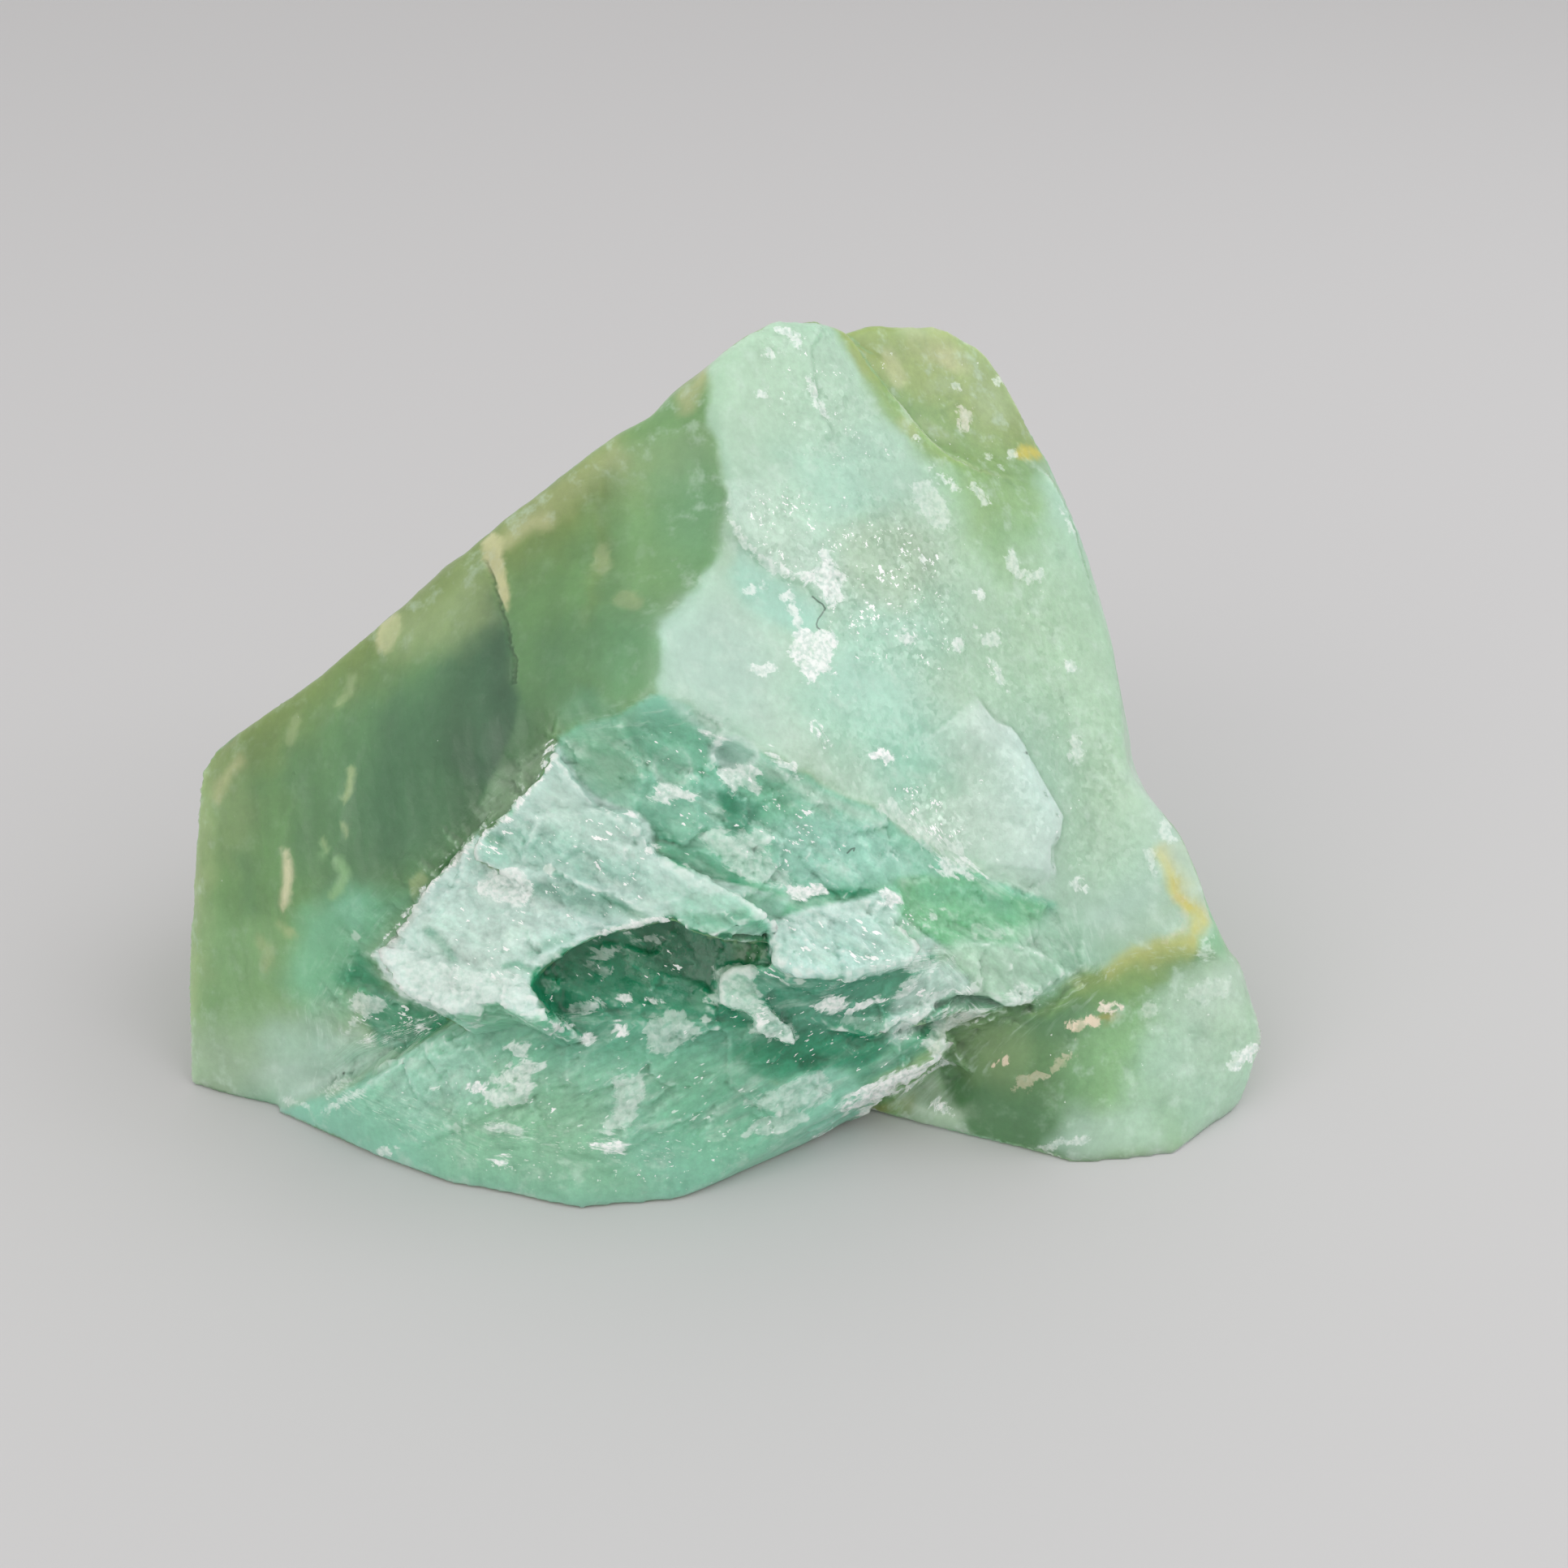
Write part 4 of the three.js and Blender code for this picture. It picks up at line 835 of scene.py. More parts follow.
# fibres of dust caught on the stone, with how many mm from the eye they are
dustDepth = 3      # mm behind a fibre, past which nothing takes its mark
dust = {
    "fibre": {"away": 88.8, "line": [
        (1001, 735), (1008, 741), (1013.5, 744.5), (1017, 750), (1012.5, 757), (1008, 763), (1006, 769),
        (1007, 773), (1010, 775)]},
    "curl": {"away": 87.3, "line": [(1044, 1051), (1049, 1046), (1053, 1045), (1052, 1048)]},
}

# where small glints are common, from 0 to 1; the glints are shine on tiny facets and painted white specks
glintZones = {
    "scaleEdge": {"amount": 0.8, "soft": 50, "outline": [
        (900, 600), (990, 590), (1060, 690), (1090, 760), (1110, 830), (1050, 820), (1000, 740), (930, 690)]},
    "rightMiddle": {"amount": 0.75, "soft": 80, "outline": [
        (990, 620), (1080, 600), (1180, 640), (1190, 800), (1150, 850), (1060, 820), (1010, 740), (930, 670)]},
    "summit": {"amount": 0.6, "soft": 60, "outline": [(930, 400), (1020, 400), (1090, 520), (1120, 560),
        (1040, 600), (960, 560)]},
    "rightRest": {"amount": 0.35, "soft": 80, "outline": [
        (900, 780), (1100, 850), (1300, 700), (1380, 900), (1420, 1080), (1300, 1100), (1130, 1040),
        (950, 920)]},
    "ridge": {"amount": 1, "soft": 30, "outline": [(1095, 970), (1150, 960), (1190, 1010), (1180, 1050),
        (1120, 1030)]},
    "ledge": {"amount": 0.7, "soft": 30, "outline": [
        (600, 1000), (780, 1000), (830, 1100), (700, 1160), (650, 1210), (540, 1220), (520, 1150),
        (560, 1080)]},
    "pocket": {"amount": 0.5, "soft": 30, "outline": [(680, 1180), (850, 1160), (850, 1240), (960, 1290),
        (760, 1300), (660, 1250)]},
    "gully": {"amount": 1, "soft": 20, "outline": [(440, 1250), (500, 1235), (550, 1255), (500, 1295),
        (450, 1290)]},
    "lowerFront": {"amount": 0.7, "soft": 40, "outline": [
        (940, 1130), (1110, 1110), (1200, 1180), (1190, 1240), (1100, 1340), (960, 1330), (880, 1250)]},
    "upperFront": {"amount": 0.7, "soft": 40, "outline": [(790, 880), (870, 900), (950, 950), (1120, 1050),
        (960, 1090), (780, 980)]},
}
# where small white flecks are
fleckZones = {
    "toe": {"amount": 0.75, "soft": 60, "outline": [
        (420, 1370), (520, 1300), (640, 1270), (860, 1280), (960, 1330), (1000, 1400), (850, 1480),
        (600, 1480)]},
    "under": {"amount": 0.55, "soft": 30, "outline": [(660, 1230), (880, 1240), (1100, 1260), (1050, 1320),
        (860, 1320), (660, 1300)]},
    "pocket": {"amount": 0.3, "soft": 20, "outline": [(700, 1150), (830, 1140), (940, 1160), (870, 1240),
        (680, 1240)]},
    "foot": {"amount": 0.5, "soft": 60, "outline": [(1260, 1260), (1420, 1200), (1560, 1220), (1560, 1340),
        (1400, 1400), (1260, 1380)]},
    "lobe": {"amount": 0.55, "soft": 30, "outline": [(1060, 420), (1200, 410), (1270, 520), (1260, 620),
        (1140, 600), (1090, 500)]},
    "front": {"amount": 0.5, "soft": 50, "outline": [(780, 880), (1000, 960), (1180, 1080), (1300, 1240),
        (1000, 1240), (760, 1000)]},
    "right": {"amount": 0.3, "soft": 80, "outline": [(920, 420), (1100, 520), (1330, 650), (1400, 1000),
        (1200, 1050), (900, 800)]},
}
# the front's grain falls to the right, but rises to the right where this is 1
layZones = {
    "toe": {"amount": 1, "soft": 30, "outline": [
        (280, 1400), (440, 1290), (560, 1255), (680, 1255), (870, 1250), (990, 1230), (1110, 1190),
        (1160, 1180),
        (1210, 1240), (1300, 1235), (1400, 1180), (1600, 1180), (1600, 1460), (700, 1530), (300, 1480)]},
}
# where ribs run down the face
ribZones = {
    "leftFace": {"amount": 1, "soft": 60, "outline": [
        (240, 960), (480, 790), (760, 580), (860, 560), (800, 740), (790, 860), (640, 960), (470, 1140),
        (380, 1230),
        (260, 1330)]},
}
# where the edges are worn round
roundZones = {
    "foot": {"amount": 1, "soft": 60, "outline": [
        (1230, 1280), (1400, 1180), (1500, 1120), (1640, 1200), (1640, 1480), (1200, 1500), (1180, 1400)]},
    "bandEnd": {"amount": 1, "soft": 30, "outline": [
        (1270, 1070), (1360, 1080), (1380, 1185), (1290, 1225), (1250, 1180)]},
    "leftEnd": {"amount": 1, "soft": 40, "outline": [
        (100, 850), (275, 900), (270, 1100), (300, 1300), (420, 1360), (420, 1440), (100, 1440)]},
    "underLobe": {"amount": 1, "soft": 30, "outline": [
        (1160, 560), (1210, 535), (1260, 520), (1320, 530), (1320, 640), (1220, 640)]},
}
# where the front is splintered
splinterZone = {"outline": [
    (440, 1150), (600, 990), (690, 900), (860, 890), (1000, 960), (1180, 1070), (1300, 1110), (1340, 1200),
    (1240, 1260), (1180, 1310), (1060, 1390), (900, 1400), (600, 1400), (420, 1330), (400, 1240)]}


# ---- writing the marks on the stone
ribWay = (0.12, -0.55, -0.83)          # down the left face
fallingWay = (0.87, -0.25, -0.43)      # the two ways in which splinters lie
risingWay = (0.87, 0.25, 0.43)

marking = {
    "narrow": 40,            # pixels: a mark with a crisper edge than this stays off what is hidden
    "patchDepth": 1.5,       # mm: how far inside or outside a patch's edge is told apart
    # shares by which the colour changes: over broad clouds and fine ones, over the ribs, and in warmth
    "cloudy": 0.06, "mottled": 0.06, "banded": 0.13, "warmth": 0.035,
}
# the side that is turned away, laid out by noise; sizes and heights in mm
farSide = {
    "glint": 0.35, "fleck": 0.3, "rib": 0.7, "paleness": 0.45,
    "patchSize": 2.6, "crumbSize": 0.8, "patchLimit": 0.72, "patchSlope": 2.2,
    "stepWay": (0.5, 0.62, 0.6), "stepSpacing": 3.4, "stepHeight": 0.3, "stepWander": 1.6,
    "swell": 0.4, "swellSize": 5, "lumps": 0.16, "lumpSize": 1.6, "inset": 0.35,
}


def paint(colour, name, share):
    # moves each point's colour toward one in the palette
    return colour + (np.array(toLinear(palette[name])) - colour) * share[:, None]


def covered(inside, soft):
    return smoothStep(inside, -soft / 2, soft / 2)


def stoneColour(points, pixels, wobble, seen, ahead, rib):
    # height and clouds colour the side turned away, and the marks cover the rest
    cloud = valueNoise(points, 9, 7) + 0.5 * valueNoise(points, 4, 8)
    toRight = smoothStep(points[:, 0] + 3 * cloud, -14, 16)
    high = smoothStep(points[:, 2] + 3 * cloud, 16, 30)
    milky = smoothStep(valueNoise(points, 7, 35) + 0.4 * valueNoise(points, 2.5, 36), -0.1, 0.8)
    colour = np.tile(toLinear(palette["jade"]), (len(points), 1))
    for name, share in {"leaf": toRight, "lime": 0.7 * high * toRight,
                        "lagoon": 0.6 * smoothStep(cloud, 0.1, 0.9), "mint": 0.7 * milky}.items():
        colour = paint(colour, name, share)
    for mark in tints.values():
        soft = mark["soft"]
        if "scarp" in mark:
            share = scarp(pixels + wobble * 2, mark)
        else:
            share = covered(reach(pixels + wobble * min(soft * 0.5, 9), mark, soft), soft)
        share = share * mark["amount"] * (seen if soft < marking["narrow"] else ahead)
        colour = paint(colour, mark["colour"], share)
    across = points - np.outer(points @ ribWay, ribWay) * 0.9
    shade = 1 + marking["cloudy"] * valueNoise(points, 4, 32) + marking["mottled"] * valueNoise(points, 1.1, 33)
    shade = shade + marking["banded"] * valueNoise(across, 1.3, 31) * rib
    warmth = marking["warmth"] * valueNoise(points, 5, 34)
    return colour * np.stack([shade + warmth, shade, shade - warmth, np.ones(len(points))], axis=1)


def patchMarks(points, pixels, wobble, seen, ahead):
    # mm inside the nearest patch's edge, how white and how warm that patch is, and how far it rises
    deep = marking["patchDepth"]
    edge = np.full(len(points), -deep)
    white, warm, rise = np.zeros((3, len(points)))
    crumble = valueNoise(points, 0.35, 9)
    for mark in patches.values():
        inside = np.clip(reach(pixels, mark, 60) * view["pixel"], -deep, deep)
        nearer = inside > edge
        edge = np.where(nearer, inside, edge)
        white = np.where(nearer, mark["paleness"], white)
        warm = np.where(nearer, mark.get("warm", 0), warm)
        ragged = inside + 0.13 * wobble[:, 0] + 0.16 * crumble
        rise = np.maximum(rise, 0.6 * mark["rise"] * smoothStep(ragged, -0.12, 0.16))
    clumps = valueNoise(points, farSide["patchSize"], 21) + 0.35 * valueNoise(points, farSide["crumbSize"], 22)
    far = np.clip(farSide["patchSlope"] * (clumps - farSide["patchLimit"]), -deep, deep)
    edge = np.where(seen > 0.5, edge, np.where(ahead < 0.5, far, -deep))
    return edge, np.where(ahead < 0.5, farSide["paleness"], white), warm, rise


def crackMarks(pixels, wobble, seen):
    # how dark and how deep the cracks are; the dark in the gaps is painted shadow
    dark, deep = np.zeros((2, len(pixels)))
    for mark in cracks.values():
        wide = mark["wide"]
        inside = reach(pixels + wobble * min(wide * 0.4, 2.2), mark, 20)
        share = smoothStep(inside, -wide * 0.45, wide * 0.35) * seen
        dark = np.maximum(dark, share * mark["dark"])
        deep = np.maximum(deep, share * mark["deep"])
    return dark, deep


def stepRise(pixels, wobble):
    # mm by which steps and scarps stand up
    rise = np.zeros(len(pixels))
    for mark in steps.values():
        shape = tints[mark["like"]] if "like" in mark else mark
        inside = reach(pixels, shape, 20) * view["pixel"] + 0.12 * wobble[:, 1]
        rise += mark["rise"] * smoothStep(inside, -0.1, 0.12)
    for mark in scarps.values():
        shape = tints[mark["like"]] if "like" in mark else mark
        rise += mark["rise"] * scarp(pixels + wobble * 2.5, {**shape, "fade": mark["fade"], "edge": 3})
    return rise


def farRelief(points, facing):
    # low curved steps and swells, all inward, and none near the outline
    turn = points @ farSide["stepWay"] + farSide["stepWander"] * valueNoise(points, 6, 23)
    onStep = np.abs((turn / farSide["stepSpacing"]) % 1 - 0.15) < 0.15
    relief = farSide["stepHeight"] * onStep * smoothStep(valueNoise(points, 7, 24), -0.1, 0.5)
    relief = relief + farSide["swell"] * valueNoise(points, farSide["swellSize"], 25)
    relief = relief + farSide["lumps"] * valueNoise(points, farSide["lumpSize"], 26) - farSide["inset"]
    return relief * (1 - smoothStep(facing, -0.6, -0.2))


def markStone(mesh):
    # writes every mark onto the mesh as attributes
    points, normals = positionsOf(mesh), normalsOf(mesh)
    facing = frontFacing(points, normals)
    pixels = viewPixels(points)
    # marks are wobbled a little so that their edges are never straight
    wobble = np.stack([valueNoise(points, 1.4, seed) + 0.5 * valueNoise(points, 0.6, seed + 1)
                       for seed in (3, 5)], axis=1)
    ahead = smoothStep(facing, -0.2, 0.1)
    seen = notHidden(mesh, points, normals)

    def zones(marks):
        total = np.zeros(len(points))
        for mark in marks.values():
            inside = reach(pixels, mark, mark["soft"])
            total = np.maximum(total, covered(inside, mark["soft"]) * mark["amount"])
        return total * ahead

    rib = np.maximum(zones(ribZones), smoothStep(-points[:, 0], 8, 16) * (1 - ahead) * farSide["rib"])
    edge, white, warm, patchRise = patchMarks(points, pixels, wobble, seen, ahead)
    dark, deep = crackMarks(pixels, wobble, seen)
    splinter = smoothStep(reach(pixels, splinterZone, 80), -40, 20) * ahead
    relief = (stepRise(pixels, wobble) + patchRise) * seen - deep + farRelief(points, facing)
    for name, values in {
            "tint": stoneColour(points, pixels, wobble, seen, ahead, rib), "rib": rib,
            "glint": np.maximum(zones(glintZones), farSide["glint"] * (1 - ahead)),
            "fleck": np.maximum(zones(fleckZones), farSide["fleck"] * (1 - ahead)),
            "lay": zones(layZones), "rounded": zones(roundZones), "splinter": splinter,
            "patch": edge, "white": white, "warm": warm, "crack": dark, "relief": relief}.items():
        store(mesh, name, values)
    print("marks written on", len(points), "points")


# ---- the stone
stoneShape = {
    "voxel": 0.185,            # mm
    "plainTriangles": 60000,   # kept on the plain faces of the front
    "backTriangles": 42000,    # kept on what faces away
    "away": 0.02,              # what looks at the front less than this faces away
    "busyReach": 30,           # pixels round the splintered front in which nothing is thinned
    # the relief's inputs: heights and sizes in mm
    "relief": {
        "softening": 10,                             # rounds of smoothing away from the splintered front
        "rounding": 60,                              # more of them where the edges are worn round
        "swell": 0.10, "swellSize": 3.2,             # low waves
        "grain": 0.035, "grainSize": 0.7,            # fine unevenness
        "ribs": 0.12, "ribSpacing": 1.5,             # down the left face
        "chips": 0.16, "chipSize": 2.4,              # flat, on the splintered front
        "splinters": 0.10, "splinterSize": 0.8,      # finer chips drawn out along the grain
        "crumbs": 0.14, "crumbSize": 0.42,           # sugary, in the white patches
        "seed": 11.0,
    },
}
# how far the ribs and the splinters are drawn out, from 0 to 1
ribStretch, splinterStretch = 0.88, 0.66


def reliefTree():
    # displaces the surface along its normal: waves, ribs, chips, crumbs and the marks' own relief
    tree = bpy.data.node_groups.new("weatheredSurface", "GeometryNodeTree")
    add = partial(addNode, tree)
    tree.interface.new_socket("Geometry", in_out="INPUT", socket_type="NodeSocketGeometry")
    for name, value in stoneShape["relief"].items():
        kind = "NodeSocketInt" if isinstance(value, int) else "NodeSocketFloat"
        tree.interface.new_socket(name, in_out="INPUT", socket_type=kind)
    tree.interface.new_socket("Geometry", in_out="OUTPUT", socket_type="NodeSocketGeometry")
    start = add("NodeGroupInput")
    marks = {name: add("GeometryNodeInputNamedAttribute", {"Name": name})["Attribute"]
             for name in ("splinter", "rounded", "rib", "lay", "patch", "relief")}

    # smoothing, except where the front is splintered
    loose = add(mathKind, (1, marks["splinter"]), operation="SUBTRACT")[0]
    place = add("GeometryNodeInputPosition")[0]
    for rounds, weight in (("softening", loose), ("rounding", marks["rounded"])):
        place = add("GeometryNodeBlurAttribute", {
            "Value": place, "Iterations": start[rounds], "Weight": weight}, data_type="FLOAT_VECTOR")["Value"]
    calm = add("GeometryNodeSetPosition", {"Geometry": start["Geometry"], "Position": place})[0]

    place = add("GeometryNodeInputPosition")[0]
    at = add(vectorKind, {0: place, "Scale": 1 / mm}, operation="SCALE")[0]
    shift = add("ShaderNodeCombineXYZ", (start["seed"], start["seed"], start["seed"]))[0]
    lift = add(vectorKind, (at, shift), operation="ADD")[0]

    # waves, unevenness and ribs are noise, half above the surface and half below it
    waves = {}
    for name, size, detail, where in (
            ("swell", "swellSize", 3, lift), ("grain", "grainSize", 4, lift),
            ("ribs", "ribSpacing", 2, drawnOut(tree, lift, ribWay, ribStretch))):
        scale = add(mathKind, (1, start[size]), operation="DIVIDE")[0]
        wave = add("ShaderNodeTexNoise", {"Vector": where, "Scale": scale, "Detail": detail})["Fac"]
        wave = add(mathKind, (wave, 0.5), operation="SUBTRACT")[0]
        height = add(mathKind, (start[name], 2), operation="MULTIPLY")[0]
        waves[name] = add(mathKind, (wave, height), operation="MULTIPLY")[0]
    rougher = add(mathKind, (marks["splinter"], 1.5, 1), operation="MULTIPLY_ADD")[0]
    grain = add(mathKind, (waves["grain"], rougher), operation="MULTIPLY")[0]
    ribs = add(mathKind, (waves["ribs"], marks["rib"]), operation="MULTIPLY")[0]

    def cells(name, size, where):
        # each chip or crumb is a cell whose flat top leans its own way
        scale = add(mathKind, (1, start[size]), operation="DIVIDE")[0]
        cell = add("ShaderNodeTexVoronoi", {"Vector": where, "Scale": scale})
        gap = add(vectorKind, (where, cell["Position"]), operation="SUBTRACT")[0]
        lean = add(vectorKind, (cell["Color"], (0.5, 0.5, 0.5)), operation="SUBTRACT")[0]
        tilt = add(vectorKind, (gap, lean), operation="DOT_PRODUCT")["Value"]
        tilt = add(mathKind, (tilt, start[size]), operation="DIVIDE")[0]
        level = add("ShaderNodeSeparateXYZ", (cell["Color"],))[0]
        level = add(mathKind, (level, 0.5), operation="SUBTRACT")[0]
        level = add(mathKind, (level, 0.5), operation="MULTIPLY")[0]
        top = add(mathKind, (tilt, 2, level), operation="MULTIPLY_ADD")[0]
        return add(mathKind, (top, start[name]), operation="MULTIPLY")[0]

    falling, rising = [cells("splinters", "splinterSize", drawnOut(tree, lift, way, splinterStretch))
                       for way in (fallingWay, risingWay)]
    rising = add(mathKind, (rising, marks["lay"]), operation="MULTIPLY")[0]
    fallen = add(mathKind, (1, marks["lay"]), operation="SUBTRACT")[0]
    splinters = add(mathKind, (falling, fallen, rising), operation="MULTIPLY_ADD")[0]
    chips = add(mathKind, (cells("chips", "chipSize", lift), splinters), operation="ADD")[0]
    chips = add(mathKind, (chips, marks["splinter"]), operation="MULTIPLY")[0]
    # crumbs stand in the patches, the highest of them where a patch itself is raised
    inPatch = add(rangeKind, (marks["patch"], -0.15, 0.15))[0]
    raised = add(rangeKind, (marks["relief"], 0, 0.1, 0.25, 1))[0]
    crumbShare = add(mathKind, (inPatch, raised), operation="MULTIPLY")[0]
    crumbs = add(mathKind, (cells("crumbs", "crumbSize", lift), crumbShare), operation="MULTIPLY")[0]
    smooth = add(mathKind, (waves["swell"], grain), operation="ADD")[0]
    total = add(mathKind, (ribs, chips), operation="ADD")[0]
    for layer in (smooth, crumbs, marks["relief"]):
        total = add(mathKind, (total, layer), operation="ADD")[0]

    # the base stays flat
    height = add("ShaderNodeSeparateXYZ", (at,))[2]
    ground = add(rangeKind, (height, 0.02, 0.8))[0]
    for share in (ground, mm):
        total = add(mathKind, (total, share), operation="MULTIPLY")[0]
    normal = add("GeometryNodeInputNormal")[0]
    offset = add(vectorKind, {0: normal, "Scale": total}, operation="SCALE")[0]
    moved = add("GeometryNodeSetPosition", {"Geometry": calm, "Offset": offset})[0]
    real = add("GeometryNodeRealizeInstances", (moved,))[0]
    finish = add("GeometryNodeSetMaterial", {"Geometry": real, "Material": beryl})[0]
    add("NodeGroupOutput", (finish,))
    return tree


# ---- milky beryl, broken and weathered
# translucent: light scatters a few millimetres deep, bruises are white and dry, clean breaks are glassy
berylLook = {
    "ior": 1.58,
    "scatter": 1.5,            # mm
    "scatterColour": (0.9, 1.0, 0.95),
    "roughness": 0.33,
    "grainStretch": 0.72,      # how far the grain is drawn out, from 0 to 1
    "blockSize": 0.42,         # mm, of the splinters in the patches' edges
    "facetSize": 0.26,         # mm, of the tiny facets that catch the light
    # the layers' colours: white flecks and painted glints, edges with wear and a painted highlight, painted
    # shade in hollows, and cracks with painted shadow in their gaps
    "wisp": "#CDE2D6", "depth": "#86B8A0", "fleck": "#F4F9F6", "dullSugar": "#D2E2DC", "whiteSugar": "#F6FAF8",
    "wornSheen": "#DCEAE2", "hollow": "#5E9880", "crack": "#2E4A38", "dust": "#2F4038",
    # each noise's size in mm, detail and roughness, and what it follows
    "noises": {
        "wisps": (1.0, 3, 0.62, "grain"), "depths": (1.5, 3, 0.6, "grain"),
        "mottle": (0.4, 3, 0.7, "stone"), "strands": (0.7, 3, 0.75, "splinters"),
        "flecks": (0.28, 2, 0.6, "grain"), "specksAndGlints": (0.2, 2, 0.7, "grain"), "specksAndGlintsClumps": (0.9, 1, 0.5, "stone"),
        "ragged": (0.5, 4, 0.72, "grain"), "body": (0.7, 3, 0.7, "grain"), "sugar": (0.22, 2, 0.5, "stone"),
        "uneven": (0.5, 3, 0.65, "stone"),
    },
    # between which values each share changes, and what it changes from and to
    "ramps": {
        "wisps": (0.50, 0.74, 0, 0.4), "onPale": (0.13, 0.36, 0.2, 1), "depths": (0.47, 0.30, 0, 0.3),
        "fleckLimit": (0, 1, 0.84, 0.625), "flecks": (0, 0.05),
        "specksAndGlintsLimit": (0, 1, 0.86, 0.635), "specksAndGlints": (0, 0.02),
        "patch": (-0.07, 0.09), "body": (0.30, 0.52, 0.55, 1), "sugar": (0.35, 0.6), "dry": (-0.1, 0.15),
        "wornSheen": (0.515, 0.59, 0, 0.7), "hollow": (0.485, 0.42, 0, 0.35), "clear": (0, 1, 1, 0.5),
        "dust": (0.02, 0.055, 0.6, 0),
    },
}


def dustNear(add, place, fibre):
    # how near the fibre is in mm, and whether the place is in front; both seen along the line of sight
    half = view["side"] / 2
    rays = [forward + np.array([(u - half) / focal, 0, 0]) - upward * (v - half) / focal
            for u, v in fibre["line"]]
    rays = [ray / np.linalg.norm(ray) for ray in rays]
    sight = rays[0]
    corners = [eye + ray * fibre["away"] for ray in rays]
    corners = [corner - sight * (corner @ sight) for corner in corners]
    depth = add(vectorKind, (place, tuple(sight)), operation="DOT_PRODUCT")["Value"]
    flat = add(vectorKind, {0: tuple(sight), "Scale": depth}, operation="SCALE")[0]
    flat = add(vectorKind, (place, flat), operation="SUBTRACT")[0]
    nearest = 1.0
    for start, end in zip(corners, corners[1:]):
        span = end - start
        off = add(vectorKind, (flat, tuple(start)), operation="SUBTRACT")[0]
        along = add(vectorKind, (off, tuple(span)), operation="DOT_PRODUCT")["Value"]
        along = add(mathKind, (along, float(span @ span)), operation="DIVIDE", use_clamp=True)[0]
        foot = add(vectorKind, {0: tuple(span), "Scale": along}, operation="SCALE")[0]
        gap = add(vectorKind, (off, foot), operation="DISTANCE")["Value"]
        nearest = add(mathKind, (nearest, gap), operation="MINIMUM")[0]
    behind = float(eye @ sight) + fibre["away"] + dustDepth
    return nearest, add(mathKind, (depth, behind), operation="LESS_THAN")[0]


